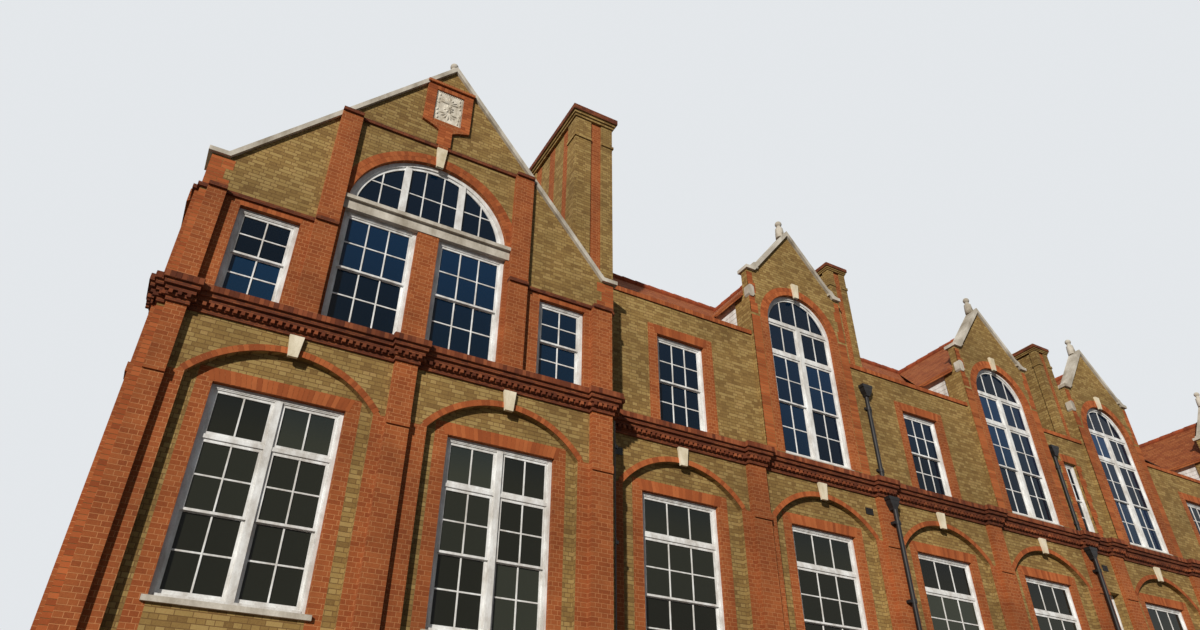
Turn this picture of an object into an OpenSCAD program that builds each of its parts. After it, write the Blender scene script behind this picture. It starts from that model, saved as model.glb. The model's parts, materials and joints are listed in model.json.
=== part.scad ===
// School building in stock brick with red brick dressings: a gabled pavilion and a long wing.
// Millimetres. X runs along the front, the front faces -Y, Z is up from the ground.

/* [Brickwork] */
// Height of one brick course with its joint
course = 75; // [65:1:86]
// Half the length of a brick with its joint, the step between wall planes
half_brick = 112; // [100:1:125]
// Thickness of the outer walls behind the pilasters
wall_t = 450; // [340:10:600]

/* [Pavilion] */
// Width of the gabled pavilion
pav_w = 7860; // [7700:20:8200]
// Depth of the pavilion from its wall face
pav_d = 9200; // [8600:50:10500]
// How far the windows stand left of the line under the apex
axis_shift = 55; // [0:5:80]
// Width of the left corner pilasters, one on each side of the corner
pav_left_w = 290; // [240:10:310]
// Width of the right corner pilaster
pav_right_w = 425; // [380:5:440]
// Distance of the arched recesses from the axis of the windows
pav_bay_out = 1840; // [1830:5:1850]
// Width of the pavilion's arched recesses
pav_recess_w = 2790; // [2760:10:2800]
// Width of the middle pilaster below the cornice
pav_mid_w = 380; // [320:10:420]
// How far the middle pilaster stands left of the windows' axis
mid_shift = 60; // [0:5:80]
// Width of the two inner pilasters in the gable
pav_inner_w = 392; // [340:4:420]
// Distance of the inner pilasters from the middle, to their outer edge
pav_inner_out = 2020; // [1990:10:2080]
// Width of the first-floor windows of the pavilion
pav_win_w = 1980; // [1700:10:2060]
// Half the width of the great arched window
great_half_w = 1565; // [1520:5:1590]
// Width of the brick pier in the middle of the great window
great_pier_w = 410; // [340:10:480]
// Width of the small upper windows of the pavilion
pav_small_w = 990; // [850:10:1050]
// Distance of the small upper windows from the line under the apex
pav_small_x = 2775; // [2750:5:2800]

/* [Wing] */
// Width of one wide bay of the wing
bay_w = 3645; // [3600:5:3720]
// Width of the narrow bay of the wing
narrow_w = 1180; // [1140:10:1300]
// Width of the wing's pilasters
pier_w = 440; // [400:10:480]
// How far the wing stands back from the pavilion
wing_back = 450; // [350:10:560]
// Depth of the wing from wall face to wall face
wing_d = 6300; // [5800:50:7000]
// Start of the first bay beyond the pavilion
wing_gap = 0; // [0:10:60]
// Width of the wing's first-floor windows
wing_win_w = 1770; // [1600:10:1840]
// Width of the wing's small upper windows
wing_small_w = 1220; // [1000:10:1260]
// How far the small upper windows stand right of their bays' middles
small_shift = 130; // [0:10:200]
// Width of the windows in the narrow bay
narrow_win_w = 560; // [500:10:580]
// Width of the arched windows in the wing gables
gable_win_w = 1980; // [1800:10:2040]
// Width of the gables of the wing
gable_w = 2960; // [2800:20:3040]
// Width of the brick strip at each side of a wide bay's arched recess
strip_w = 215; // [180:5:240]

/* [Heights] */
// Top of the plinth
plinth_z = 600; // [450:25:675]
// Sills and heads of the ground-floor windows
ground_sill_z = 975; // [900:25:1050]
ground_head_z = 3075; // [2950:25:3150]
// Underside of the band between ground floor and first floor
band_z = 3600; // [3550:25:3650]
// Sill of the first-floor windows
first_sill_z = 4475; // [4400:25:4550]
// Head of the first-floor windows
first_head_z = 7600; // [7500:10:7650]
// Springing of the arched recesses
spring_z = 7600; // [7560:10:7640]
// Rise of the arched recesses
arch_rise = 680; // [640:10:720]
// Underside of the main cornice
cornice_z = 8600; // [8560:10:8640]
// Sill of the top-floor windows
upper_sill_z = 9090; // [9080:10:9120]
// Head of the pavilion's small top windows
pav_small_head_z = 10810; // [10700:10:10815]
// Underside of the string course under the gable
string_z = 10925; // [10900:5:10960]
// Underside of the stone lintel over the tall windows
lintel_z = 11460; // [11400:10:11520]
// Height of the stone lintel
lintel_h = 280; // [240:10:320]
// Underside of the string course in the gable
gable_string_z = 13660; // [13600:5:13700]
// Top of the pavilion's coping at the kneelers
pav_kneeler_z = 11790; // [11740:10:11840]
// Top of the pavilion's coping at the apex
pav_apex_z = 16180; // [16000:10:16300]
// Top of the wing's parapet wall
parapet_z = 11990; // [11900:10:12040]
// Head of the wing's small top windows
wing_small_head_z = 11200; // [11000:10:11250]
// Springing of the arched windows in the wing gables
gable_spring_z = 12530; // [12440:10:12560]
// Top of the wing gables' coping at the kneelers
gable_kneeler_z = 13960; // [13900:10:14000]
// Top of the wing gables' coping at the apex
gable_apex_z = 15620; // [15500:10:15700]
// Ridge of the wing's roof
wing_ridge_z = 15050; // [14950:10:15150]
// Top of the great chimney
chimney_z = 17950; // [17600:50:18400]
// Top of the chimneys beside the gables
small_chimney_z = 15300; // [15200:50:15600]

/* [Details] */
// Depth of the timber window frames
frame_d = 70; // [50:5:90]
// Width of the timbers of the window frames
frame_w = 85; // [70:5:100]
// Thickness of the window glass
glass_t = 8; // [6:1:12]
// Thickness of the roof covering and boarding
roof_t = 180; // [140:10:240]
// Thickness of the stone copings
coping_t = 90; // [70:5:110]
// Thickness of the floors
floor_t = 300; // [200:10:320]
// Diameter of the rainwater pipes
pipe_d = 100; // [75:5:120]

/* [Hidden] */

$fn = 96;
cut = 10;

// The pavilion's layout follows its width
drawn_pav_w = 7860;
pav_share = pav_w / drawn_pav_w;
left_w = pav_share * pav_left_w;
right_w = pav_share * pav_right_w;
bay_out = pav_share * pav_bay_out;
recess_w = pav_share * pav_recess_w;
mid_w = pav_share * pav_mid_w;
mid_left = pav_share * mid_shift;
inner_w = pav_share * pav_inner_w;
inner_out = pav_share * pav_inner_out;
front_win_w = pav_share * pav_win_w;
great_r = pav_share * great_half_w;
great_pier = pav_share * great_pier_w;
small_w = pav_share * pav_small_w;
small_x = pav_share * pav_small_x;
axis_left = pav_share * axis_shift;

// The wing's layout follows the width of its bays
drawn_bay_w = 3645;
bay_share = bay_w / drawn_bay_w;
arched_w = bay_share * gable_win_w;
gable_all_w = bay_share * gable_w;
bay_win_w = bay_share * wing_win_w;
bay_small_w = bay_share * wing_small_w;
bay_strip_w = bay_share * strip_w;
bay_pier_w = bay_share * pier_w;
small_right = bay_share * small_shift;

// Planes of the pavilion, from front to back
pav_face = half_brick;
pav_panel = 2 * half_brick;
pav_inner = pav_face + wall_t;
pav_end = pav_face + pav_d;
gable_mid = pav_w / 2;
pav_mid = gable_mid - axis_left;

// Pilasters of the pavilion, from their left to their right edge
corner_x0 = half_brick;
corner_back = 95;
corner_x1 = pav_w - corner_back;
PAV_PIERS = [
    [corner_x0, corner_x0 + left_w],
    [pav_mid - mid_left - mid_w / 2, pav_mid - mid_left + mid_w / 2],
    [corner_x1 - right_w, corner_x1]
];
INNER_PIERS = [
    [pav_mid - inner_out, pav_mid - inner_out + inner_w],
    [pav_mid + inner_out - inner_w, pav_mid + inner_out]
];

// Planes of the wing
wing_pier_face = wing_back;
wing_face = wing_back + half_brick;
wing_panel = wing_back + 2 * half_brick;
wing_inner = wing_face + wall_t;
wing_end = wing_face + wing_d;
ridge_y = (wing_face + wing_end) / 2;

// Bays of the wing: small top window, gable, narrow
KINDS = ["small", "gable", "small", "gable", "narrow", "gable", "small", "gable"];
function kind_w(k) = k == "narrow" ? narrow_w : bay_w;
function bay_x(i) = i == 0 ? pav_w + wing_gap : bay_x(i - 1) + kind_w(KINDS[i - 1]);
function bay_mid(i) = bay_x(i) + kind_w(KINDS[i]) / 2;
function small_mid(i) = bay_mid(i) + small_right;
bays = len(KINDS);
wing_right = bay_x(bays - 1) + bay_w + bay_pier_w / 2;
GABLES = [for (i = [0:bays - 1]) if (KINDS[i] == "gable") i];
SMALLS = [for (i = [0:bays - 1]) if (KINDS[i] == "small") i];
WIDE = [for (i = [0:bays - 1]) if (KINDS[i] != "narrow") i];
narrow_i = [for (i = [0:bays - 1]) if (KINDS[i] == "narrow") i][0];
narrow_mid = bay_mid(narrow_i);

// The part stands on the middle of its footprint
cornice_reach = 200;
cornice_h = 415;
end_share = 0.65;
cornice_top = cornice_z + cornice_h;
side_out = 65;
coping_out = 70;
mid_x = (wing_right - side_out - end_share * cornice_reach) / 2;
mid_y = (pav_end + coping_out - cornice_reach) / 2;
module placed() {
    translate([-mid_x, -mid_y, 0])
        children();
}

// Draws an outline of X and Z, and makes it a slab from y0 to y0 + t
module elev(y0, t) {
    translate([0, y0 + t, 0])
        rotate([90, 0, 0])
            linear_extrude(t)
                children();
}

// Draws an outline of Y and Z, and makes it a slab from x0 to x0 + t
module side(x0, t) {
    translate([x0, 0, 0])
        rotate([90, 0, 90])
            linear_extrude(t)
                children();
}

module box(x0, x1, y0, y1, z0, z1) {
    translate([x0, y0, z0])
        cube([x1 - x0, y1 - y0, z1 - z0]);
}

module rect(x0, x1, z0, z1) {
    translate([x0, z0])
        square([x1 - x0, z1 - z0]);
}

// Outline with a segmental head: middle x, width, foot, springing and rise
lap = 1;
module arched(x, w, z0, spring, rise) {
    r = (rise * rise + w * w / 4) / (2 * rise);
    if (spring > z0)
        rect(x - w / 2, x + w / 2, z0, spring - lap / 2);
    intersection() {
        translate([x, spring + rise - r])
            circle(r);
        rect(x - w / 2, x + w / 2, spring - lap, spring + rise + cut);
    }
}

// Sizes of the arched recesses
wing_recess_w = bay_w - bay_pier_w - 2 * bay_strip_w;
recess_foot = band_z + 2 * course;
PAV_X = [pav_mid - bay_out, pav_mid + bay_out];

module pav_recess(x) {
    arched(x, recess_w, recess_foot, spring_z, arch_rise);
}

module wing_recess(i) {
    arched(bay_mid(i), wing_recess_w, recess_foot, spring_z, arch_rise);
}

// Lines of the gables: a level kneeler, then the slope to the apex
kneeler_w = 240;
gable_kneeler_w = 280;
gable_half_w = gable_all_w / 2;
pav_slope = (pav_apex_z - pav_kneeler_z) / (gable_mid - kneeler_w);
gable_slope = (gable_apex_z - gable_kneeler_z) / (gable_half_w - gable_kneeler_w);
function steep(slope) = sqrt(1 + slope * slope);
coping_drop = coping_t * steep(pav_slope);
gable_drop = coping_t * steep(gable_slope);

// Outline of a coped gable, lowered by drop along the slope and by level on the kneelers
module gable_form(mid_line, half_w, foot, kneeler, knee_w, apex, drop, level) {
    slope = (apex - kneeler) / (half_w - knee_w);
    turn = half_w - knee_w - (drop - level) / slope;
    translate([mid_line, 0])
        polygon([
            [-half_w, foot],
            [half_w, foot],
            [half_w, kneeler - level],
            [turn, kneeler - level],
            [0, apex - drop],
            [-turn, kneeler - level],
            [-half_w, kneeler - level]
        ]);
}
module pav_gable_outline(drop = 0, level = 0) {
    gable_form(gable_mid, gable_mid, 0, pav_kneeler_z, kneeler_w, pav_apex_z, drop, level);
}

// Openings of the pavilion front
module pav_ground_openings() {
    for (x = PAV_X)
        rect(x - front_win_w / 2, x + front_win_w / 2, ground_sill_z, ground_head_z);
}
module pav_first_openings() {
    for (x = PAV_X)
        rect(x - front_win_w / 2, x + front_win_w / 2, first_sill_z, first_head_z);
}
module pav_small_openings() {
    for (s = [-1, 1])
        rect(
            gable_mid + s * small_x - small_w / 2,
            gable_mid + s * small_x + small_w / 2,
            upper_sill_z, pav_small_head_z
        );
}
module pav_tall_openings() {
    rect(pav_mid - great_r, pav_mid - great_pier / 2, upper_sill_z, lintel_z);
    rect(pav_mid + great_pier / 2, pav_mid + great_r, upper_sill_z, lintel_z);
}
lunette_z = lintel_z + lintel_h;
great_drop = 90;
module lunette(r, z0 = 0) {
    intersection() {
        translate([pav_mid, lunette_z - great_drop])
            circle(r);
        rect(pav_mid - r - cut, pav_mid + r + cut, lunette_z + z0, lunette_z + r + cut);
    }
}
module great_ring() {
    intersection() {
        difference() {
            lunette(great_r + surround_w);
            lunette(great_r);
        }
        rect(lintel_x0, lintel_x1, lunette_z, pav_apex_z);
    }
}
module pav_front_openings() {
    pav_ground_openings();
    pav_first_openings();
    pav_small_openings();
    pav_tall_openings();
    lunette(great_r);
}

// Red facing round the windows, a half brick deep
surround_w = 2 * half_brick;
module surround(x, w, z0, z1) {
    difference() {
        rect(x - w / 2 - surround_w, x + w / 2 + surround_w, z0, z1 + surround_w);
        rect(x - w / 2, x + w / 2, z0 - cut, z1);
    }
}
module pav_upper_facing() {
    difference() {
        rect(corner_x0 + left_w, corner_x1 - right_w, cornice_top, string_z);
        pav_small_openings();
        pav_tall_openings();
        rect(pav_mid - inner_out, pav_mid + inner_out, cornice_top - cut, string_z + cut);
    }
    difference() {
        rect(pav_mid - inner_out + inner_w, pav_mid + inner_out - inner_w, cornice_top, lintel_z);
        pav_tall_openings();
    }
}

module pavilion_front_wall() {
    color("darkkhaki")
        difference() {
            elev(pav_face, wall_t)
                difference() {
                    pav_gable_outline(coping_drop, coping_t);
                    pav_front_openings();
                }
            elev(pav_face - cut, half_brick + cut)
                for (x = PAV_X)
                    pav_recess(x);
            elev(pav_panel, half_brick)
                for (x = PAV_X)
                    surround(x, front_win_w, recess_foot, first_head_z);
            elev(pav_face - cut, half_brick + cut) {
                for (x = PAV_X)
                    surround(x, front_win_w, plinth_z, ground_head_z);
                pav_upper_facing();
                great_ring();
            }
            stone_lintel_form();
        }
}

// Side and back walls of the pavilion
SIDE_Y = [2400, 5000, 7400];
side_win_w = 1400;
side_head_z = first_head_z - 600;
back_top_head_z = pav_small_head_z - 300;
module side_openings() {
    for (y = SIDE_Y) {
        rect(y - side_win_w / 2, y + side_win_w / 2, ground_sill_z, ground_head_z);
        rect(y - side_win_w / 2, y + side_win_w / 2, first_sill_z, side_head_z);
        rect(y - side_win_w / 2, y + side_win_w / 2, upper_sill_z, pav_small_head_z);
    }
}
module pavilion_left_wall() {
    color("darkkhaki")
        side(0, wall_t)
            difference() {
                rect(pav_inner, pav_end - wall_t, 0, pav_eaves_z);
                side_openings();
            }
}
module pavilion_right_wall() {
    color("darkkhaki")
        side(pav_w - wall_t, wall_t)
            rect(pav_inner, pav_end - wall_t, 0, pav_eaves_z);
}
module pav_back_openings() {
    for (x = PAV_X) {
        rect(x - front_win_w / 2, x + front_win_w / 2, ground_sill_z, ground_head_z);
        rect(x - front_win_w / 2, x + front_win_w / 2, first_sill_z, side_head_z);
        rect(x - front_win_w / 2, x + front_win_w / 2, upper_sill_z, pav_small_head_z);
    }
}
module pavilion_back_wall() {
    color("darkkhaki")
        elev(pav_end - wall_t, wall_t)
            difference() {
                pav_gable_outline(coping_drop, coping_t);
                pav_back_openings();
            }
}

// Roof of the pavilion, between its two gables
roof_drop = 160;
roof_rise = roof_t * steep(pav_slope);
eaves_out = 150;
function pav_roof_z(x) = pav_apex_z - roof_drop - abs(x - gable_mid) * pav_slope;
pav_eaves_z = pav_roof_z(0) - roof_rise;
module pavilion_roof() {
    color("sienna")
        difference() {
            elev(pav_inner, pav_d - 2 * wall_t)
                polygon([
                    [-eaves_out, pav_roof_z(-eaves_out)],
                    [gable_mid, pav_roof_z(gable_mid)],
                    [pav_w + eaves_out, pav_roof_z(-eaves_out)],
                    [pav_w + eaves_out, pav_roof_z(-eaves_out) - roof_rise],
                    [pav_w, pav_eaves_z],
                    [pav_w - wall_t, pav_eaves_z],
                    [pav_w - wall_t, pav_roof_z(wall_t) - roof_rise],
                    [gable_mid, pav_roof_z(gable_mid) - roof_rise],
                    [wall_t, pav_roof_z(wall_t) - roof_rise],
                    [wall_t, pav_eaves_z],
                    [0, pav_eaves_z],
                    [-eaves_out, pav_roof_z(-eaves_out) - roof_rise]
                ]);
            stack_form();
            wing_roof_volume(roof_t);
        }
}

// Roof of the wing
roof_foot_y = wing_inner;
foot_drop = 240;
roof_foot_z = parapet_z - foot_drop;
wing_slope = (wing_ridge_z - roof_foot_z) / (ridge_y - roof_foot_y);
wing_rise = roof_t * steep(wing_slope);
back_eaves_z = wing_ridge_z - (wing_end - ridge_y) * wing_slope;
module wing_roof_line(drop) {
    polygon([
        [roof_foot_y, 0],
        [roof_foot_y, roof_foot_z - drop],
        [ridge_y, wing_ridge_z - drop],
        [wing_end + eaves_out, back_eaves_z - eaves_out * wing_slope - drop],
        [wing_end + eaves_out, 0]
    ]);
}
module wing_roof_volume(drop = 0) {
    side(pav_w - 4000, wing_right - wall_t - pav_w + 4000)
        wing_roof_line(drop);
}
module wing_roof() {
    color("sienna")
        difference() {
            side(pav_w - 1200, wing_right - wall_t - pav_w + 1200)
                polygon([
                    [roof_foot_y, roof_foot_z - wing_rise],
                    [roof_foot_y, roof_foot_z],
                    [ridge_y, wing_ridge_z],
                    [wing_end + eaves_out, back_eaves_z - eaves_out * wing_slope],
                    [wing_end + eaves_out, back_eaves_z - eaves_out * wing_slope - wing_rise],
                    [wing_end, back_eaves_z - wing_rise],
                    [wing_end - wall_t, back_eaves_z - wing_rise],
                    [wing_end - wall_t, back_eaves_z + wall_t * wing_slope - wing_rise],
                    [ridge_y, wing_ridge_z - wing_rise]
                ]);
            elev(0, pav_end)
                polygon([
                    [-cut, 0],
                    [pav_w + eaves_out + cut, 0],
                    [pav_w + eaves_out, pav_roof_z(-eaves_out)],
                    [gable_mid, pav_roof_z(gable_mid)],
                    [-cut, pav_roof_z(gable_mid)]
                ]);
            for (i = GABLES)
                dormer_room(i);
            stack_form();
            small_stacks_form();
        }
}

// Cross roofs behind the gables
cross_ridge_z = wing_ridge_z - 60;
cross_half_w = gable_half_w - 60;
cross_out = 150;
cheek_t = 60;
cross_rise = roof_t * steep(gable_slope);
function cross_z(x) = cross_ridge_z - abs(x) * gable_slope;
module dormer_room(i) {
    w = cross_half_w - cheek_t;
    elev(wing_inner - cut, ridge_y - wing_inner + cut)
        translate([bay_mid(i), 0])
            polygon([
                [-w, 0],
                [w, 0],
                [w, cross_z(w) - cross_rise],
                [0, cross_ridge_z - cross_rise],
                [-w, cross_z(w) - cross_rise]
            ]);
}
module cross_roofs() {
    w = cross_half_w + cross_out;
    color("chocolate")
        difference() {
            for (i = GABLES)
                elev(wing_inner, ridge_y - wing_inner)
                    translate([bay_mid(i), 0])
                        polygon([
                            [-w, cross_z(w)],
                            [0, cross_ridge_z],
                            [w, cross_z(w)],
                            [w, cross_z(w) - cross_rise],
                            [0, cross_ridge_z - cross_rise],
                            [-w, cross_z(w) - cross_rise]
                        ]);
            wing_roof_volume();
            small_stacks_form();
        }
}
module dormer_cheeks() {
    color("whitesmoke")
        difference() {
            for (i = GABLES)
                for (s = [-1, 1])
                    elev(wing_inner, ridge_y - wing_inner)
                        translate([bay_mid(i), 0])
                            polygon([
                                [s * (cross_half_w - cheek_t), roof_foot_z],
                                [s * cross_half_w, roof_foot_z],
                                [s * cross_half_w, cross_z(cross_half_w) - cross_rise],
                                [s * (cross_half_w - cheek_t), cross_z(cross_half_w - cheek_t) - cross_rise]
                            ]);
            wing_roof_volume();
            small_stacks_form();
        }
}

// Openings of the wing front
module gable_head(i, r) {
    intersection() {
        translate([bay_mid(i), gable_spring_z])
            circle(r);
        rect(bay_mid(i) - r, bay_mid(i) + r, gable_spring_z - lap, gable_spring_z + r + cut);
    }
}
module gable_opening(i, r = arched_w / 2) {
    rect(bay_mid(i) - r, bay_mid(i) + r, upper_sill_z, gable_spring_z);
    gable_head(i, r);
}
module wing_ground_openings() {
    for (i = WIDE)
        rect(bay_mid(i) - bay_win_w / 2, bay_mid(i) + bay_win_w / 2, ground_sill_z, ground_head_z);
}
module wing_first_openings() {
    for (i = WIDE)
        rect(bay_mid(i) - bay_win_w / 2, bay_mid(i) + bay_win_w / 2, first_sill_z, first_head_z);
    rect(
        narrow_mid - narrow_win_w / 2, narrow_mid + narrow_win_w / 2,
        first_sill_z, first_head_z
    );
}
module wing_small_openings() {
    for (i = SMALLS)
        rect(small_mid(i) - bay_small_w / 2, small_mid(i) + bay_small_w / 2, upper_sill_z, wing_small_head_z);
    rect(
        narrow_mid - narrow_win_w / 2, narrow_mid + narrow_win_w / 2,
        upper_sill_z, wing_small_head_z
    );
}
door_w = 720;
door_h = 2300;
door_t = 60;
step_z = 150;
module door_opening() {
    rect(narrow_mid - door_w / 2, narrow_mid + door_w / 2, step_z, step_z + door_h);
}
module wing_front_openings() {
    wing_ground_openings();
    wing_first_openings();
    wing_small_openings();
    door_opening();
}
module gable_shape(i, drop = 0, level = 0) {
    gable_form(
        bay_mid(i), gable_half_w, gable_spring_z,
        gable_kneeler_z, gable_kneeler_w, gable_apex_z, drop, level
    );
}
module gable_ring(i) {
    difference() {
        gable_opening(i, arched_w / 2 + surround_w);
        gable_opening(i);
    }
}
// Where the gables stand forward above the cornice
module gable_bays(reach = 0) {
    for (i = GABLES)
        rect(bay_mid(i) - gable_half_w, bay_mid(i) + gable_half_w, cornice_top, parapet_z + reach);
}
module wing_front_wall() {
    color("darkkhaki")
        difference() {
            elev(wing_panel, wall_t - half_brick)
                difference() {
                    rect(pav_w, wing_right, 0, parapet_z);
                    gable_bays(cut);
                    wing_front_openings();
                }
            elev(wing_panel - cut, half_brick + cut)
                for (i = WIDE)
                    surround(bay_mid(i), bay_win_w, recess_foot, first_head_z);
        }
}
module wing_facing() {
    color("darkkhaki")
        elev(wing_face, half_brick) {
            difference() {
                rect(pav_w, wing_right, 0, spring_z);
                wing_front_openings();
                for (i = WIDE) {
                    rect(
                        bay_mid(i) - wing_recess_w / 2, bay_mid(i) + wing_recess_w / 2,
                        recess_foot, spring_z + cut
                    );
                    surround(bay_mid(i), bay_win_w, plinth_z, ground_head_z);
                }
            }
            difference() {
                rect(pav_w, wing_right, cornice_top, parapet_z);
                gable_bays(cut);
                wing_small_openings();
                for (i = SMALLS)
                    surround(small_mid(i), bay_small_w, cornice_top, wing_small_head_z);
            }
        }
}
module wing_spandrels() {
    color("darkkhaki")
        elev(wing_face, half_brick)
            difference() {
                rect(pav_w, wing_right, spring_z, cornice_top);
                rect(
                    narrow_mid - narrow_win_w / 2, narrow_mid + narrow_win_w / 2,
                    spring_z - cut, first_head_z
                );
                for (i = WIDE)
                    wing_recess(i);
            }
}
module wing_gable_piers() {
    color("darkkhaki")
        difference() {
            for (i = GABLES)
                for (s = [-1, 1])
                    elev(wing_pier_face, wall_t + half_brick)
                        translate([bay_mid(i), 0])
                            polygon([
                                [s * arched_w / 2, cornice_top],
                                [s * gable_half_w, cornice_top],
                                [s * gable_half_w, gable_spring_z],
                                [s * arched_w / 2, gable_spring_z]
                            ]);
            elev(wing_pier_face - cut, half_brick + cut)
                for (i = GABLES)
                    gable_ring(i);
        }
}
module wing_gable_walls() {
    color("darkkhaki")
        difference() {
            for (i = GABLES)
                elev(wing_pier_face, wall_t + half_brick)
                    difference() {
                        gable_shape(i, gable_drop, coping_t);
                        gable_head(i, arched_w / 2);
                    }
            elev(wing_pier_face - cut, half_brick + cut)
                for (i = GABLES)
                    gable_ring(i);
        }
}
back_wall_top = back_eaves_z - wing_rise;
module wing_back_openings() {
    for (i = WIDE) {
        rect(bay_mid(i) - bay_win_w / 2, bay_mid(i) + bay_win_w / 2, ground_sill_z, ground_head_z);
        rect(bay_mid(i) - bay_win_w / 2, bay_mid(i) + bay_win_w / 2, first_sill_z, side_head_z);
        rect(bay_mid(i) - bay_win_w / 2, bay_mid(i) + bay_win_w / 2, upper_sill_z, back_top_head_z);
    }
}
module wing_back_wall() {
    color("darkkhaki")
        elev(wing_end - wall_t, wall_t)
            difference() {
                rect(pav_w, wing_right, 0, back_wall_top);
                wing_back_openings();
            }
}
end_rise = 300;
module wing_end_wall() {
    color("darkkhaki")
        side(wing_right - wall_t, wall_t)
            polygon([
                [wing_inner, 0],
                [wing_end - wall_t, 0],
                [wing_end - wall_t, back_wall_top],
                [wing_end, back_wall_top],
                [wing_end, back_eaves_z + end_rise],
                [ridge_y, wing_ridge_z + end_rise],
                [wing_inner, roof_foot_z + end_rise]
            ]);
}

// Plinth and band between the floors
plinth_out = 50;
PIERS = [for (i = [1:bays]) (i < bays ? bay_x(i) : bay_x(bays - 1) + bay_w)];
module plinth() {
    color("sienna")
        difference() {
            union() {
                box(0, pav_w, 0, pav_face, 0, plinth_z);
                box(pav_w, wing_right, wing_pier_face, wing_face, 0, plinth_z);
                box(-side_out, 0, half_brick, pav_end + plinth_out, 0, plinth_z);
                box(0, pav_w + plinth_out, pav_end, pav_end + plinth_out, 0, plinth_z);
                box(pav_w, pav_w + plinth_out, wing_end, pav_end, 0, plinth_z);
                box(pav_w + plinth_out, wing_right, wing_end, wing_end + plinth_out, 0, plinth_z);
            }
            elev(-cut, wing_face + 2 * cut)
                door_opening();
        }
}
module floor_band() {
    color("sienna") {
        box(0, pav_w, 0, pav_face, band_z, recess_foot);
        box(-side_out, 0, half_brick, pav_face + half_brick + left_w, band_z, recess_foot);
        box(pav_w, wing_right, wing_pier_face, wing_face, band_z, recess_foot);
    }
}

// Pilasters
impost_out = 30;
impost_h = 2 * course;
side_y0 = pav_face + half_brick;
side_y1 = side_y0 + left_w;
module pav_pilaster(x0, x1, z0, z1) {
    box(x0, x1, 0, pav_face, z0, z1);
}
module side_pilaster(z0, z1) {
    box(-side_out, 0, side_y0, side_y1, z0, z1);
}
module pavilion_pilasters() {
    color("orangered") {
        for (x = PAV_PIERS) {
            pav_pilaster(x[0], x[1], plinth_z, band_z);
            pav_pilaster(x[0], x[1], recess_foot, cornice_z);
            box(x[0], x[1], -impost_out, 0, spring_z - impost_h, spring_z);
        }
        side_pilaster(plinth_z, band_z);
        side_pilaster(recess_foot, cornice_z);
        side_pilaster(cornice_top, string_z);
        box(-side_out - impost_out, -side_out, side_y0, side_y1, spring_z - impost_h, spring_z);
        for (x = [PAV_PIERS[0], PAV_PIERS[2]])
            pav_pilaster(x[0], x[1], cornice_top, string_z);
        for (x = INNER_PIERS) {
            pav_pilaster(x[0], x[1], cornice_top, string_z);
            pav_pilaster(x[0], x[1], string_z + string_h, gable_string_z);
        }
    }
}
module wing_pilasters() {
    color("orangered")
        for (x = PIERS) {
            box(x - bay_pier_w / 2, x + bay_pier_w / 2, wing_pier_face, wing_face, plinth_z, band_z);
            box(x - bay_pier_w / 2, x + bay_pier_w / 2, wing_pier_face, wing_face, recess_foot, cornice_z);
            box(
                x - bay_pier_w / 2, x + bay_pier_w / 2,
                wing_pier_face - impost_out, wing_pier_face, spring_z - impost_h, spring_z
            );
        }
}

// Arch rings and jamb strips, standing a little proud of the spandrels
ring_w = half_brick;
ring_out = 12;
strip_x0 = PAV_PIERS[0][1];
strip_x1 = PAV_PIERS[2][0];
module pavilion_arches() {
    color("orangered")
        elev(pav_face - ring_out, ring_out)
            difference() {
                union() {
                    rect(strip_x0, strip_x1, recess_foot, spring_z);
                    for (x = PAV_X)
                        arched(x, recess_w + 2 * ring_w, spring_z, spring_z, arch_rise + ring_w);
                }
                for (x = PAV_X)
                    pav_recess(x);
                rect(PAV_PIERS[1][0], PAV_PIERS[1][1], recess_foot - cut, cornice_z);
            }
}
module wing_arches() {
    color("orangered")
        elev(wing_face - ring_out, ring_out)
            for (i = WIDE) {
                difference() {
                    arched(bay_mid(i), wing_recess_w + 2 * ring_w, spring_z, spring_z, arch_rise + ring_w);
                    wing_recess(i);
                }
                difference() {
                    rect(
                        bay_mid(i) - wing_recess_w / 2 - bay_strip_w,
                        bay_mid(i) + wing_recess_w / 2 + bay_strip_w,
                        recess_foot, spring_z
                    );
                    wing_recess(i);
                }
            }
}
module window_surrounds() {
    color("orangered") {
        elev(pav_panel, half_brick)
            for (x = PAV_X)
                surround(x, front_win_w, recess_foot, first_head_z);
        elev(wing_panel, half_brick)
            for (i = WIDE)
                surround(bay_mid(i), bay_win_w, recess_foot, first_head_z);
        elev(pav_face, half_brick) {
            for (x = PAV_X)
                surround(x, front_win_w, plinth_z, ground_head_z);
            pav_upper_facing();
        }
        elev(wing_face, half_brick) {
            for (i = WIDE)
                surround(bay_mid(i), bay_win_w, plinth_z, ground_head_z);
        }
        elev(wing_face - ring_out, half_brick + ring_out)
            for (i = SMALLS)
                surround(small_mid(i), bay_small_w, cornice_top, wing_small_head_z);
    }
}
module gable_arches() {
    color("orangered") {
        elev(pav_face, half_brick)
            great_ring();
        elev(wing_pier_face, half_brick)
            for (i = GABLES)
                gable_ring(i);
    }
}

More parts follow.
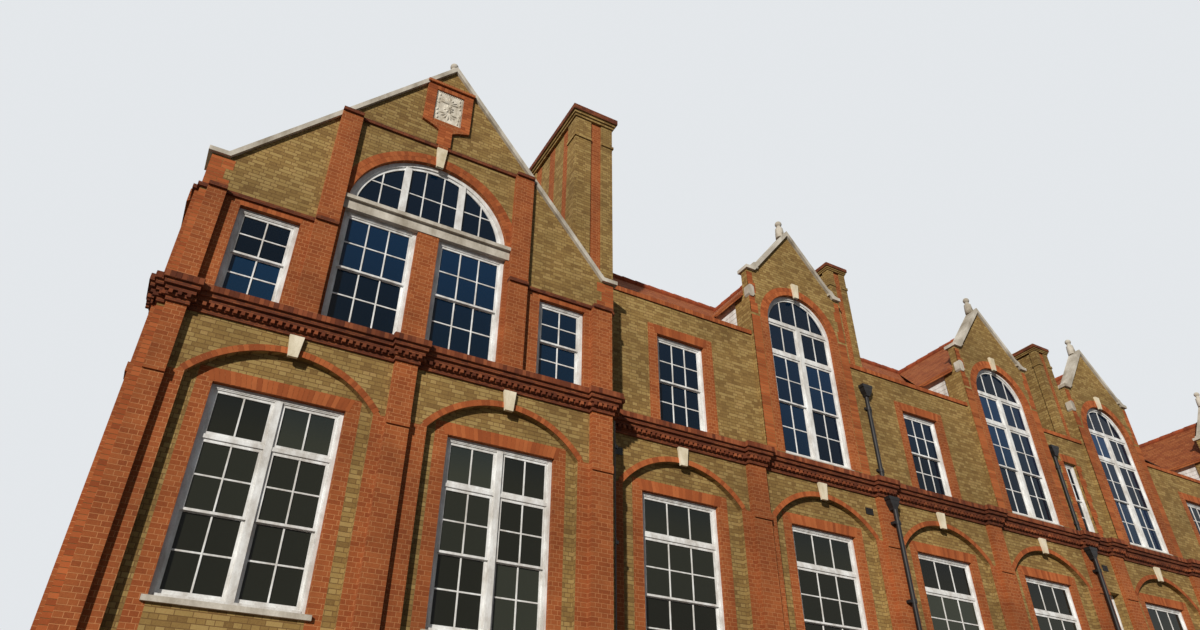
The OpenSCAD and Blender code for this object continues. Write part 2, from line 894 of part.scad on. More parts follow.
// Main cornice, course by course: how far out, how high
CORNICE = [[40, 75], [70, 75], [110, 75], [160, 75], [cornice_reach, 115]];
function above(k) = k == 0 ? 0 : CORNICE[k - 1][1] + above(k - 1);
module cornice_block(x0, x1, y_front, y_back) {
    for (k = [0:len(CORNICE) - 1])
        box(
            x0 - end_share * CORNICE[k][0], x1 + end_share * CORNICE[k][0],
            y_front - CORNICE[k][0], y_back,
            cornice_z + above(k), cornice_z + above(k) + CORNICE[k][1]
        );
}
module cornice_return(x0, s, y0, y1) {
    for (k = [0:len(CORNICE) - 1]) {
        x1 = x0 + s * end_share * CORNICE[k][0];
        box(
            min(x0, x1), max(x0, x1), y0 - CORNICE[k][0], y1 + end_share * CORNICE[k][0],
            cornice_z + above(k), cornice_z + above(k) + CORNICE[k][1]
        );
    }
}
module pavilion_cornice() {
    color("firebrick") {
        cornice_block(0, pav_w, pav_face, pav_face);
        for (x = PAV_PIERS)
            cornice_block(x[0], x[1], 0, pav_face);
        cornice_return(0, -1, pav_face, side_y1);
        cornice_return(-side_out, -1, side_y0, side_y1);
        box(-side_out, 0, side_y0, side_y1, cornice_z, cornice_top);
        cornice_return(pav_w, 1, pav_face, wing_face);
    }
}
module wing_cornice() {
    color("firebrick")
        difference() {
            union() {
                cornice_block(pav_w, wing_right, wing_face, wing_face);
                for (x = PIERS)
                    cornice_block(x - bay_pier_w / 2, x + bay_pier_w / 2, wing_pier_face, wing_face);
            }
            box(wing_right, wing_right + 2 * bay_pier_w, 0, pav_end, 0, pav_apex_z);
            box(0, pav_w, 0, pav_end, 0, pav_apex_z);
            cornice_return(pav_w, 1, pav_face, wing_face);
        }
}

// String courses
string_h = course;
string_out = 45;
module string_bit(x0, x1, y0, z) {
    box(x0, x1, y0 - string_out, pav_face, z, z + string_h);
}
module string_courses() {
    x0 = INNER_PIERS[0];
    x1 = INNER_PIERS[1];
    color("firebrick") {
        string_bit(0, x0[1], pav_face, string_z);
        string_bit(x1[0], pav_w, pav_face, string_z);
        for (x = [PAV_PIERS[0], PAV_PIERS[2], x0, x1])
            string_bit(x[0], x[1], 0, string_z);
        box(-string_out, 0, pav_face - string_out, side_y1, string_z, string_z + string_h);
        box(-side_out - string_out, 0, side_y0 - string_out, side_y1, string_z, string_z + string_h);
        string_bit(x0[0], pav_mid - corbel_w / 2, pav_face, gable_string_z);
        string_bit(pav_mid + corbel_w / 2, x1[1], pav_face, gable_string_z);
        for (x = [x0, x1])
            string_bit(x[0], x[1], 0, gable_string_z);
    }
}

// Keystones
key_out = 60;
key_drop = 60;
corbel_w = 215;
module keystone(x, z0, z1, w0, w1, y) {
    elev(y - key_out, key_out)
        polygon([
            [x - w0 / 2, z0],
            [x + w0 / 2, z0],
            [x + w1 / 2, z1],
            [x - w1 / 2, z1]
        ]);
}
crown_z = spring_z + arch_rise;
great_crown_z = lunette_z - great_drop + great_r;
gable_crown_z = gable_spring_z + arched_w / 2;
gable_key_h = 350;
module keystones() {
    color("white") {
        for (x = PAV_X)
            keystone(x, crown_z - key_drop, cornice_z, 150, 230, pav_face - ring_out);
        for (i = WIDE)
            keystone(bay_mid(i), crown_z - key_drop, cornice_z, 150, 230, wing_face - ring_out);
        keystone(pav_mid, great_crown_z - key_drop, gable_string_z, 135, corbel_w, pav_face);
        for (i = GABLES)
            keystone(
                bay_mid(i), gable_crown_z - key_drop, gable_crown_z + gable_key_h,
                130, 200, wing_pier_face
            );
    }
}

// Stone lintel between the tall windows and the lunette
lintel_x0 = INNER_PIERS[0][1];
lintel_x1 = INNER_PIERS[1][0];
lintel_y1 = pav_face + 340;
lintel_out = 20;
lintel_sill = 80;
module stone_lintel_form() {
    box(lintel_x0, lintel_x1, pav_face - cut, lintel_y1, lintel_z, lunette_z);
}
module stone_lintel() {
    color("ivory") {
        box(lintel_x0, lintel_x1, pav_face - lintel_out, lintel_y1, lintel_z, lunette_z - lintel_sill);
        box(lintel_x0, lintel_x1, pav_face - lintel_sill, lintel_y1, lunette_z - lintel_sill, lunette_z);
    }
}

// Sills
sill_h = 75;
sill_out = 60;
sill_ear = 75;
module sill(x, w, z, y) {
    box(x - w / 2 - sill_ear, x + w / 2 + sill_ear, y - sill_out, y, z - sill_h, z);
}
module window_sills() {
    color("gainsboro") {
        for (x = PAV_X) {
            sill(x, front_win_w, first_sill_z, pav_panel);
            sill(x, front_win_w, ground_sill_z, pav_face);
        }
        for (i = WIDE) {
            sill(bay_mid(i), bay_win_w, first_sill_z, wing_panel);
            sill(bay_mid(i), bay_win_w, ground_sill_z, wing_face);
        }
        sill(narrow_mid, narrow_win_w, first_sill_z, wing_face);
        for (i = GABLES)
            box(
                bay_mid(i) - arched_w / 2, bay_mid(i) + arched_w / 2,
                wing_pier_face, wing_inner, cornice_top, upper_sill_z
            );
    }
}

// Plaque in the gable, with its brick frame and corbel
plaque_w = 600;
plaque_h = 870;
plaque_z = 14410;
plaque_frame = 200;
frame_foot = 100;
frame_out = 60;
frame_cap = 120;
frame_cap_side = 40;
frame_cap_out = 110;
plaque_out = 30;
module plaque_surround() {
    out = plaque_w / 2 + plaque_frame;
    color("orangered") {
        elev(pav_face - frame_out, frame_out)
            difference() {
                union() {
                    rect(
                        pav_mid - out, pav_mid + out,
                        plaque_z - frame_foot, plaque_z + plaque_h + plaque_frame
                    );
                    translate([pav_mid, 0])
                        polygon([
                            [-corbel_w / 2, gable_string_z],
                            [corbel_w / 2, gable_string_z],
                            [corbel_w / 2, plaque_z - frame_foot - 180],
                            [out * 0.55, plaque_z - frame_foot - 80],
                            [out, plaque_z - frame_foot],
                            [-out, plaque_z - frame_foot],
                            [-out * 0.55, plaque_z - frame_foot - 80],
                            [-corbel_w / 2, plaque_z - frame_foot - 180]
                        ]);
                }
                rect(pav_mid - plaque_w / 2, pav_mid + plaque_w / 2, plaque_z, plaque_z + plaque_h);
            }
        box(
            pav_mid - out - frame_cap_side, pav_mid + out + frame_cap_side,
            pav_face - frame_cap_out, pav_face,
            plaque_z + plaque_h + plaque_frame, plaque_z + plaque_h + plaque_frame + frame_cap
        );
    }
}
module gable_plaque() {
    color("white")
        box(
            pav_mid - plaque_w / 2, pav_mid + plaque_w / 2,
            pav_face - plaque_out, pav_face, plaque_z, plaque_z + plaque_h
        );
}

// Copings
module coping_line(mid_line, half_w, kneeler, knee_w, apex) {
    drop = coping_t * steep((apex - kneeler) / (half_w - knee_w));
    difference() {
        gable_form(mid_line, half_w, kneeler - coping_t, kneeler, knee_w, apex, 0, 0);
        gable_form(mid_line, half_w, 0, kneeler, knee_w, apex, drop, coping_t);
    }
    for (s = [-1, 1])
        rect(
            mid_line + s * half_w - (s < 0 ? coping_out : 0),
            mid_line + s * half_w + (s < 0 ? 0 : coping_out),
            kneeler - coping_t, kneeler
        );
}
module pav_coping_form(y) {
    elev(y - coping_out, wall_t + 2 * coping_out)
        coping_line(gable_mid, gable_mid, pav_kneeler_z, kneeler_w, pav_apex_z);
}
module pavilion_coping() {
    color("lightgray")
        for (y = [pav_face, pav_end - wall_t])
            pav_coping_form(y);
}
module gable_copings() {
    color("lightgray")
        difference() {
            for (i = GABLES)
                elev(wing_pier_face - coping_out, wall_t + half_brick + 2 * coping_out)
                    coping_line(bay_mid(i), gable_half_w, gable_kneeler_z, gable_kneeler_w, gable_apex_z);
            small_stacks_form();
        }
}
finial_back = 240;
finial_low = 70;
finial_top = 400;
module finial(x, y, z) {
    translate([x, y, z]) {
        rotate_extrude()
            polygon([
                [0, -finial_low], [120, -finial_low], [100, 150], [60, 190], [60, 240], [0, 240]
            ]);
        translate([0, 0, finial_top - 90])
            sphere(90);
    }
}
module finials() {
    color("lightgray") {
        difference() {
            union() {
                finial(gable_mid, pav_face + finial_back, pav_apex_z);
                for (i = GABLES)
                    finial(bay_mid(i), wing_face + finial_back, gable_apex_z);
            }
            elev(pav_face - coping_out, wall_t + 2 * coping_out)
                pav_gable_outline();
            for (i = GABLES)
                elev(wing_pier_face - coping_out, wall_t + half_brick + 2 * coping_out)
                    gable_shape(i);
        }
    }
}
parapet_cap = 115;
parapet_out = 30;
module parapet_coping() {
    color("orangered")
        difference() {
            box(pav_w, wing_right, wing_face - parapet_out, wing_inner, parapet_z, parapet_z + parapet_cap);
            for (i = GABLES)
                box(
                    bay_mid(i) - gable_half_w, bay_mid(i) + gable_half_w,
                    0, pav_d, parapet_z - cut, gable_apex_z
                );
            small_stacks_form();
            stack_form();
        }
}

// Great chimney astride the wall between pavilion and wing
stack_x0 = pav_w - wall_t;
stack_right = 600;
stack_x1 = pav_w + stack_right;
stack_y0 = 1150;
stack_y1 = 3950;
stack_mid = (stack_x0 + stack_x1) / 2;
cap_out = 90;
cap_foot = 300;
cap_head = 120;
flue_d = 260;
flue_depth = 900;
flue_step = 700;
module stack_form() {
    box(stack_x0, stack_x1, stack_y0, stack_y1, pav_eaves_z, chimney_z);
    box(pav_w, stack_x1, stack_y0, stack_y1, 0, pav_eaves_z + cut);
}
module main_chimney() {
    color("darkkhaki")
        difference() {
            union() {
                stack_form();
                box(
                    stack_x0 - cap_out, stack_x1 + cap_out, stack_y0 - cap_out, stack_y1 + cap_out,
                    chimney_z - cap_foot, chimney_z - cap_head
                );
            }
            for (y = [stack_y0 + flue_step / 2:flue_step:stack_y1])
                translate([stack_mid, y, chimney_z - flue_depth])
                    cylinder(h = flue_depth + cut, d = flue_d);
        }
}

// Chimneys beside the gables
small_stack_half = 300;
small_cap_out = 60;
small_cap_foot = 160;
small_cap_head = 60;
small_stack_d = 1100;
small_stack_in = 60;
small_flue_d = 240;
small_flue_depth = 800;
small_stack_y0 = wing_face + small_stack_in;
small_stack_y1 = small_stack_y0 + small_stack_d;
STACKS = [bay_x(2), bay_x(5)];
module small_stack_box(x) {
    box(
        x - small_stack_half, x + small_stack_half, small_stack_y0, small_stack_y1,
        parapet_z, small_chimney_z
    );
    box(x - small_stack_half, x + small_stack_half, wing_inner, small_stack_y1, 0, parapet_z + cut);
}
module small_stacks_form() {
    for (x = STACKS)
        small_stack_box(x);
}
module gable_chimneys() {
    color("darkkhaki")
        difference() {
            union() {
                small_stacks_form();
                for (x = STACKS)
                    box(
                        x - small_stack_half - small_cap_out, x + small_stack_half + small_cap_out,
                        small_stack_y0 - small_cap_out, small_stack_y1 + small_cap_out,
                        small_chimney_z - small_cap_foot, small_chimney_z - small_cap_head
                    );
            }
            for (x = STACKS)
                for (y = [small_stack_y0 + small_stack_half, small_stack_y1 - small_stack_half])
                    translate([x, y, small_chimney_z - small_flue_depth])
                        cylinder(h = small_flue_depth + cut, d = small_flue_d);
        }
}
strip_half = 160;
strip_out = 50;
strip_foot = 300;
small_strip_half = 110;
small_strip_out = 40;
module chimney_strips() {
    color("orangered") {
        box(
            stack_mid - strip_half, stack_mid + strip_half,
            stack_y0 - strip_out, stack_y0, parapet_z + strip_foot, chimney_z - cap_foot
        );
        for (x = STACKS)
            box(
                x - small_strip_half, x + small_strip_half, small_stack_y0 - small_strip_out, small_stack_y0,
                parapet_z + parapet_cap, small_chimney_z - small_cap_foot
            );
    }
}

// Rainwater pipes
pipe_off = 100;
PIPES = [bay_x(2) + pipe_off, bay_x(4) - pipe_off];
corner_pipe_d = 60;
head_h = 300;
head_half_w = 160;
pipe_gap = 60;
low_head_z = cornice_z - head_h;
upper_head_z = 11230;
module downpipes() {
    color("black") {
        for (x = PIPES) {
            translate([x, wing_pier_face - pipe_gap - pipe_d / 2, 0])
                cylinder(h = low_head_z, d = pipe_d);
            translate([x, wing_face - pipe_d / 2, cornice_top])
                cylinder(h = upper_head_z - cornice_top, d = pipe_d);
        }
        translate([pav_w + corner_pipe_d / 2, pav_face + corner_pipe_d, 0])
            cylinder(h = cornice_z, d = corner_pipe_d);
    }
}
module rainwater_heads() {
    color("black")
        for (x = PIPES) {
            box(
                x - head_half_w, x + head_half_w, wing_pier_face - pipe_gap - pipe_d, wing_pier_face,
                low_head_z, cornice_z
            );
            box(
                x - head_half_w, x + head_half_w, wing_face - head_half_w, wing_face,
                upper_head_z, upper_head_z + head_h
            );
        }
}

// Floors
module floor_slab(z) {
    difference() {
        union() {
            box(wall_t, pav_w - wall_t, pav_inner, pav_end - wall_t, z - floor_t, z);
            box(pav_w, wing_right - wall_t, wing_inner, wing_end - wall_t, z - floor_t, z);
        }
        stack_form();
        small_stacks_form();
    }
}
first_floor_z = 3900;
top_floor_z = 8500;
module ground_floor() {
    color("burlywood")
        floor_slab(floor_t);
}
module first_floor() {
    color("burlywood")
        floor_slab(first_floor_z);
}
module top_floor() {
    color("burlywood")
        floor_slab(top_floor_z);
}

// Window frames and glass
module frame_bars(x0, x1, z0, z1, posts, rails) {
    difference() {
        rect(x0, x1, z0, z1);
        xs = concat([x0], posts, [x1]);
        zs = concat([z0], rails, [z1]);
        for (i = [0:len(xs) - 2])
            for (j = [0:len(zs) - 2])
                rect(
                    xs[i] + (i == 0 ? frame_w : frame_w / 2),
                    xs[i + 1] - (i == len(xs) - 2 ? frame_w : frame_w / 2),
                    zs[j] + (j == 0 ? frame_w : frame_w / 2),
                    zs[j + 1] - (j == len(zs) - 2 ? frame_w : frame_w / 2)
                );
    }
}
function mid(a, b) = (a + b) / 2;
first_transom_z = 6900;
module pav_first_frames() {
    for (x = PAV_X)
        frame_bars(
            x - front_win_w / 2, x + front_win_w / 2, first_sill_z, first_head_z,
            [x], [mid(first_sill_z, first_transom_z), first_transom_z]
        );
}
module wing_first_frames() {
    for (i = WIDE)
        frame_bars(
            bay_mid(i) - bay_win_w / 2, bay_mid(i) + bay_win_w / 2, first_sill_z, first_head_z,
            [], [mid(first_sill_z, first_transom_z), first_transom_z]
        );
    frame_bars(
        narrow_mid - narrow_win_w / 2, narrow_mid + narrow_win_w / 2, first_sill_z, first_head_z,
        [], [mid(first_sill_z, first_transom_z), first_transom_z]
    );
}
module sash(x, w, z0, z1) {
    frame_bars(x - w / 2, x + w / 2, z0, z1, [], [mid(z0, z1)]);
}
module side_frames(z0, z1) {
    for (y = SIDE_Y)
        sash(y, side_win_w, z0, z1);
}
module back_frames(z0, z1) {
    for (x = PAV_X)
        sash(x, front_win_w, z0, z1);
}
module wing_back_frames(z0, z1) {
    for (i = WIDE)
        sash(bay_mid(i), bay_win_w, z0, z1);
}
pav_frame_y = pav_panel + half_brick;
wing_frame_y = wing_panel + half_brick;
gable_frame_y = wing_pier_face + half_brick;
back_frame_y = pav_end - half_brick - frame_d;
wing_back_frame_y = wing_end - half_brick - frame_d;
module ground_window_frames() {
    color("white") {
        elev(pav_face + half_brick, frame_d)
            for (x = PAV_X)
                sash(x, front_win_w, ground_sill_z, ground_head_z);
        elev(wing_face + half_brick, frame_d)
            for (i = WIDE)
                sash(bay_mid(i), bay_win_w, ground_sill_z, ground_head_z);
        side(half_brick, frame_d)
            side_frames(ground_sill_z, ground_head_z);
        elev(back_frame_y, frame_d)
            back_frames(ground_sill_z, ground_head_z);
        elev(wing_back_frame_y, frame_d)
            wing_back_frames(ground_sill_z, ground_head_z);
    }
}
module first_window_frames() {
    color("white") {
        elev(pav_frame_y, frame_d)
            pav_first_frames();
        elev(wing_frame_y, frame_d)
            wing_first_frames();
        side(half_brick, frame_d)
            side_frames(first_sill_z, side_head_z);
        elev(back_frame_y, frame_d)
            back_frames(first_sill_z, side_head_z);
        elev(wing_back_frame_y, frame_d)
            wing_back_frames(first_sill_z, side_head_z);
    }
}
gable_rail_1 = 11730;
gable_rail_2 = 10460;
module gable_frame(i) {
    r = arched_w / 2;
    x = bay_mid(i);
    difference() {
        gable_opening(i);
        intersection() {
            translate([x, gable_spring_z])
                circle(r - frame_w);
            rect(x - r, x + r, gable_spring_z + frame_w / 2, gable_spring_z + r);
        }
        for (s = [[x - r + frame_w, x - frame_w], [x + frame_w, x + r - frame_w]]) {
            rect(s[0], s[1], gable_rail_1 + frame_w / 2, gable_spring_z - frame_w / 2);
            rect(s[0], s[1], gable_rail_2 + frame_w / 2, gable_rail_1 - frame_w / 2);
            rect(s[0], s[1], upper_sill_z + frame_w, gable_rail_2 - frame_w / 2);
        }
    }
}
lunette_post = 560;
module lunette_frame() {
    difference() {
        lunette(great_r);
        difference() {
            lunette(great_r - frame_w * 1.5, frame_w);
            for (s = [-1, 1])
                rect(
                    pav_mid + s * lunette_post - frame_w * 0.8, pav_mid + s * lunette_post + frame_w * 0.8,
                    lunette_z, lunette_z + great_r
                );
        }
    }
}
module top_window_frames() {
    color("white") {
        elev(pav_face + half_brick, frame_d) {
            for (s = [-1, 1]) {
                sash(gable_mid + s * small_x, small_w, upper_sill_z, pav_small_head_z);
                sash(
                    pav_mid + s * mid(great_pier / 2, great_r), great_r - great_pier / 2,
                    upper_sill_z, lintel_z
                );
            }
            lunette_frame();
        }
        elev(wing_face + half_brick, frame_d) {
            for (i = SMALLS)
                sash(small_mid(i), bay_small_w, upper_sill_z, wing_small_head_z);
            sash(narrow_mid, narrow_win_w, upper_sill_z, wing_small_head_z);
        }
        elev(gable_frame_y, frame_d)
            for (i = GABLES)
                gable_frame(i);
        side(half_brick, frame_d)
            side_frames(upper_sill_z, pav_small_head_z);
        elev(back_frame_y, frame_d)
            back_frames(upper_sill_z, pav_small_head_z);
        elev(wing_back_frame_y, frame_d)
            wing_back_frames(upper_sill_z, back_top_head_z);
    }
}
module ground_window_glass() {
    color("darkslategray") {
        elev(pav_face + half_brick + frame_d, glass_t)
            pav_ground_openings();
        elev(wing_face + half_brick + frame_d, glass_t)
            wing_ground_openings();
        side(half_brick + frame_d, glass_t)
            for (y = SIDE_Y)
                rect(y - side_win_w / 2, y + side_win_w / 2, ground_sill_z, ground_head_z);
        elev(back_frame_y - glass_t, glass_t)
            for (x = PAV_X)
                rect(x - front_win_w / 2, x + front_win_w / 2, ground_sill_z, ground_head_z);
        elev(wing_back_frame_y - glass_t, glass_t)
            for (i = WIDE)
                rect(bay_mid(i) - bay_win_w / 2, bay_mid(i) + bay_win_w / 2, ground_sill_z, ground_head_z);
    }
}
module first_window_glass() {
    color("darkslategray") {
        elev(pav_frame_y + frame_d, glass_t)
            pav_first_openings();
        elev(wing_frame_y + frame_d, glass_t)
            wing_first_openings();
        side(half_brick + frame_d, glass_t)
            for (y = SIDE_Y)
                rect(y - side_win_w / 2, y + side_win_w / 2, first_sill_z, side_head_z);
        elev(back_frame_y - glass_t, glass_t)
            for (x = PAV_X)
                rect(x - front_win_w / 2, x + front_win_w / 2, first_sill_z, side_head_z);
        elev(wing_back_frame_y - glass_t, glass_t)
            for (i = WIDE)
                rect(bay_mid(i) - bay_win_w / 2, bay_mid(i) + bay_win_w / 2, first_sill_z, side_head_z);
    }
}
module top_window_glass() {
    color("darkslategray") {
        elev(pav_face + half_brick + frame_d, glass_t) {
            pav_small_openings();
            pav_tall_openings();
            lunette(great_r);
        }
        elev(wing_face + half_brick + frame_d, glass_t)
            wing_small_openings();
        elev(gable_frame_y + frame_d, glass_t)
            for (i = GABLES)
                gable_opening(i);
        side(half_brick + frame_d, glass_t)
            for (y = SIDE_Y)
                rect(y - side_win_w / 2, y + side_win_w / 2, upper_sill_z, pav_small_head_z);
        elev(back_frame_y - glass_t, glass_t)
            for (x = PAV_X)
                rect(x - front_win_w / 2, x + front_win_w / 2, upper_sill_z, pav_small_head_z);
        elev(wing_back_frame_y - glass_t, glass_t)
            for (i = WIDE)
                rect(bay_mid(i) - bay_win_w / 2, bay_mid(i) + bay_win_w / 2, upper_sill_z, back_top_head_z);
    }
}
module entrance_door() {
    color("darkgreen")
        elev(wing_face + half_brick, door_t)
            door_opening();
}

// Vents in the wall under the cornice
VENTS = [bay_x(0) + 330, bay_x(2) - 480, narrow_mid];
vent_w = 220;
vent_h = 150;
vent_top_z = cornice_z - 300;
module wall_vents() {
    color("dimgray")
        for (x = VENTS)
            box(
                x - vent_w / 2, x + vent_w / 2, wing_face - ring_out, wing_face,
                vent_top_z - vent_h, vent_top_z
            );
}

placed() pavilion_front_wall();
placed() pavilion_left_wall();
placed() pavilion_right_wall();
placed() pavilion_back_wall();
placed() wing_front_wall();
placed() wing_facing();
placed() wing_spandrels();
placed() wing_back_wall();
placed() wing_end_wall();
placed() wing_gable_piers();
placed() wing_gable_walls();
placed() plinth();
placed() floor_band();
placed() pavilion_pilasters();
placed() wing_pilasters();
placed() pavilion_arches();
placed() wing_arches();
placed() window_surrounds();
placed() gable_arches();
placed() pavilion_cornice();
placed() wing_cornice();
placed() string_courses();
placed() keystones();
placed() stone_lintel();
placed() window_sills();
placed() plaque_surround();
placed() gable_plaque();
placed() pavilion_coping();
placed() gable_copings();
placed() finials();
placed() parapet_coping();
placed() pavilion_roof();
placed() wing_roof();
placed() cross_roofs();
placed() dormer_cheeks();
placed() main_chimney();
placed() gable_chimneys();
placed() chimney_strips();
placed() downpipes();
placed() rainwater_heads();
placed() ground_floor();
placed() first_floor();
placed() top_floor();
placed() ground_window_frames();
placed() first_window_frames();
placed() top_window_frames();
placed() ground_window_glass();
placed() first_window_glass();
placed() top_window_glass();
placed() entrance_door();
placed() wall_vents();
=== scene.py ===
# %% [markdown]
# # A brick school building
# The building is a gabled pavilion with a long wing beside it, in yellow stock brick
# with red brick dressings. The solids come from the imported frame, and this lesson dresses
# them: brickwork, joinery, dentils, arches, tiles and stone.

# %% Load the frame
import json
import math
import random

import bmesh
import bpy
from mathutils import Matrix, Vector


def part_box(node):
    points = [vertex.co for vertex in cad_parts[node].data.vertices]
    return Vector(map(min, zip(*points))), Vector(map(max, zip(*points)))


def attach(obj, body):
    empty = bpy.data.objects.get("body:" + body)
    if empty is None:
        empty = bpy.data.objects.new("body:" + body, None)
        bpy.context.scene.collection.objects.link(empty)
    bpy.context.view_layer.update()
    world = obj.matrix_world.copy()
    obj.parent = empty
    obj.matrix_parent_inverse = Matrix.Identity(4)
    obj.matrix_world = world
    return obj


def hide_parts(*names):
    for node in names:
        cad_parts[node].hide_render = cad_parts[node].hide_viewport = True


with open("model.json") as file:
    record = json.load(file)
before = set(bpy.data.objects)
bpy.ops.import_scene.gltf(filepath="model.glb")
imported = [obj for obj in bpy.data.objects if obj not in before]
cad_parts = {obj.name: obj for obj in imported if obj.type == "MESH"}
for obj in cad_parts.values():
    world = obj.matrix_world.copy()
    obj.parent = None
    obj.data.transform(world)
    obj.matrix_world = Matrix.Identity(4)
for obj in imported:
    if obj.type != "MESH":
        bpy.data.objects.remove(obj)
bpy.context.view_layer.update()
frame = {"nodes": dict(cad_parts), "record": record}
nodes = frame["nodes"]

# %% [markdown]
# ## Where things are
# Every place is worked out from the frame. The left corner of the pavilion's wall and its
# front face are the zero lines, so the plan's own sizes can be written as they are built.

# %% Zero lines and planes
wall_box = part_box("pavilion_front_wall")
LEFT = wall_box[0][0]
FACE = wall_box[0][1]
HALF_BRICK = 0.112
COURSE = 0.075
PAV_W = wall_box[1][0] - LEFT
PAV_RIGHT = LEFT + PAV_W
APEX_X = LEFT + PAV_W / 2
AXIS_X = APEX_X - 0.055
PILASTER_Y = FACE - HALF_BRICK
PANEL_Y = FACE + HALF_BRICK
WING_PIER_Y = PILASTER_Y + 0.450
WING_FACE = WING_PIER_Y + HALF_BRICK
WING_PANEL = WING_FACE + HALF_BRICK
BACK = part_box("pavilion_back_wall")[1][1]
WING_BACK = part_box("wing_back_wall")[1][1]
RIDGE_Y = (WING_FACE + WING_BACK) / 2
WING_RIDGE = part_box("wing_roof")[1][2]
FRAME_D = 0.070
print("pavilion", round(PAV_W, 3), "m wide, wing's ridge at", round(WING_RIDGE, 3))

# %% Bays of the wing
BAY_W = 3.645
NARROW_W = 1.180
KINDS = ["small", "gable", "small", "gable", "narrow", "gable", "small", "gable"]
bay_left = []
edge = PAV_RIGHT
for kind in KINDS:
    bay_left.append(edge)
    edge += NARROW_W if kind == "narrow" else BAY_W
WING_END = edge
bay_mid = [(a + b) / 2 for a, b in zip(bay_left, bay_left[1:] + [WING_END])]
WIDE = [i for i, kind in enumerate(KINDS) if kind != "narrow"]
GABLES = [i for i, kind in enumerate(KINDS) if kind == "gable"]
SMALLS = [i for i, kind in enumerate(KINDS) if kind == "small"]
NARROW = KINDS.index("narrow")
print("bay middles", [round(x, 3) for x in bay_mid])

# %% Levels
GROUND_SILL, GROUND_HEAD = 0.975, 3.075
FIRST_SILL, FIRST_HEAD = 4.475, 7.600
UPPER_SILL = 9.090
PAV_SMALL_HEAD = 10.810
WING_SMALL_HEAD = 11.200
LINTEL = 11.460
LUNETTE = 11.740
GREAT_CENTRE = LUNETTE - 0.090
GREAT_R = 1.565
GABLE_SPRING = 12.530
GABLE_R = 0.990
GABLE_T = 0.224
GABLE_HALF = 1.480
SPRING = 7.600
ARCH_RISE = 0.680
CORNICE_Z = 8.600
CORNICE_TOP = 9.015
RECESS_FOOT = 3.750
print("sills at", GROUND_SILL, FIRST_SILL, UPPER_SILL)

# %% [markdown]
# ## Brick finishes
# Brickwork is a running pattern of stretchers and headers with a recessed joint. A brick
# texture gives each brick its own grey value, and a colour ramp turns that value into the
# kiln's colours. Length runs along x on the front and along y on the sides, so their sum
# carries the bond round a corner. The same pattern lowers the joints as bump.

# %% Small helpers for node trees
def new_finish(name, roughness=0.85):
    finish = bpy.data.materials.new(name)
    finish.use_nodes = True
    tree = finish.node_tree
    shader = tree.nodes["Principled BSDF"]
    shader.inputs["Roughness"].default_value = roughness
    shader.inputs["Specular IOR Level"].default_value = 0.25
    return finish, tree, shader


def add(tree, kind, **settings):
    node = tree.nodes.new(kind)
    for key, value in settings.items():
        setattr(node, key, value)
    return node


def maths(tree, operation, first, second=None):
    node = add(tree, "ShaderNodeMath", operation=operation)
    for index, value in enumerate([first, second]):
        if value is None:
            continue
        if isinstance(value, (int, float)):
            node.inputs[index].default_value = value
        else:
            tree.links.new(value, node.inputs[index])
    return node.outputs[0]


print("finishes before the first one", len(bpy.data.materials))

# %% Ramps, mixes, noise and bump
def ramp(tree, value, stops):
    node = add(tree, "ShaderNodeValToRGB")
    while len(node.color_ramp.elements) < len(stops):
        node.color_ramp.elements.new(0.5)
    for element, (place, colour) in zip(node.color_ramp.elements, stops):
        element.position = place
        element.color = (*colour, 1)
    tree.links.new(value, node.inputs["Fac"])
    return node.outputs["Color"]


def mix(tree, kind, amount, first, second):
    node = add(tree, "ShaderNodeMix", data_type="RGBA", blend_type=kind)
    for socket, value in ((0, amount), (6, first), (7, second)):
        if isinstance(value, (int, float)):
            node.inputs[socket].default_value = value
        elif isinstance(value, tuple):
            node.inputs[socket].default_value = (*value, 1)
        else:
            tree.links.new(value, node.inputs[socket])
    return node.outputs[2]


OCTAVES = 4


def noise(tree, vector, scale, detail=OCTAVES, roughness=0.6):
    node = add(tree, "ShaderNodeTexNoise")
    node.inputs["Scale"].default_value = scale
    node.inputs["Detail"].default_value = detail
    node.inputs["Roughness"].default_value = roughness
    tree.links.new(vector, node.inputs["Vector"])
    return node.outputs["Fac"]


def bump(tree, shader, height, distance, strength=1.0):
    node = add(tree, "ShaderNodeBump")
    node.inputs["Strength"].default_value = strength
    node.inputs["Distance"].default_value = distance
    tree.links.new(height, node.inputs["Height"])
    tree.links.new(node.outputs["Normal"], shader.inputs["Normal"])


print("noise has", OCTAVES, "octaves unless a finish asks for more")

# %% Colours and the tone of bricks
def linear(red, green, blue):
    """A colour picked in screen values, as the shader wants it"""
    return tuple((c / 255) ** 2.2 for c in (red, green, blue))


def grey(value):
    return (value, value, value)


def blended(tree, tone, grain, share):
    """Each brick's own tone with the grain of the clay"""
    own_part = maths(tree, "MULTIPLY", tone, share)
    return maths(tree, "ADD", own_part, maths(tree, "MULTIPLY", grain, 1 - share))


def grimed(tree, patch, grime):
    """A patch of noise as a veil of dirt"""
    return ramp(tree, patch, [(0.36, grey(1 - grime)), (0.62, grey(1.0))])


print("a mid grey of 128 is", round(linear(128, 128, 128)[0], 3), "to the shader")

# %% The pattern of bricks and joints
BRICK = 0.225
JOINT = 0.010


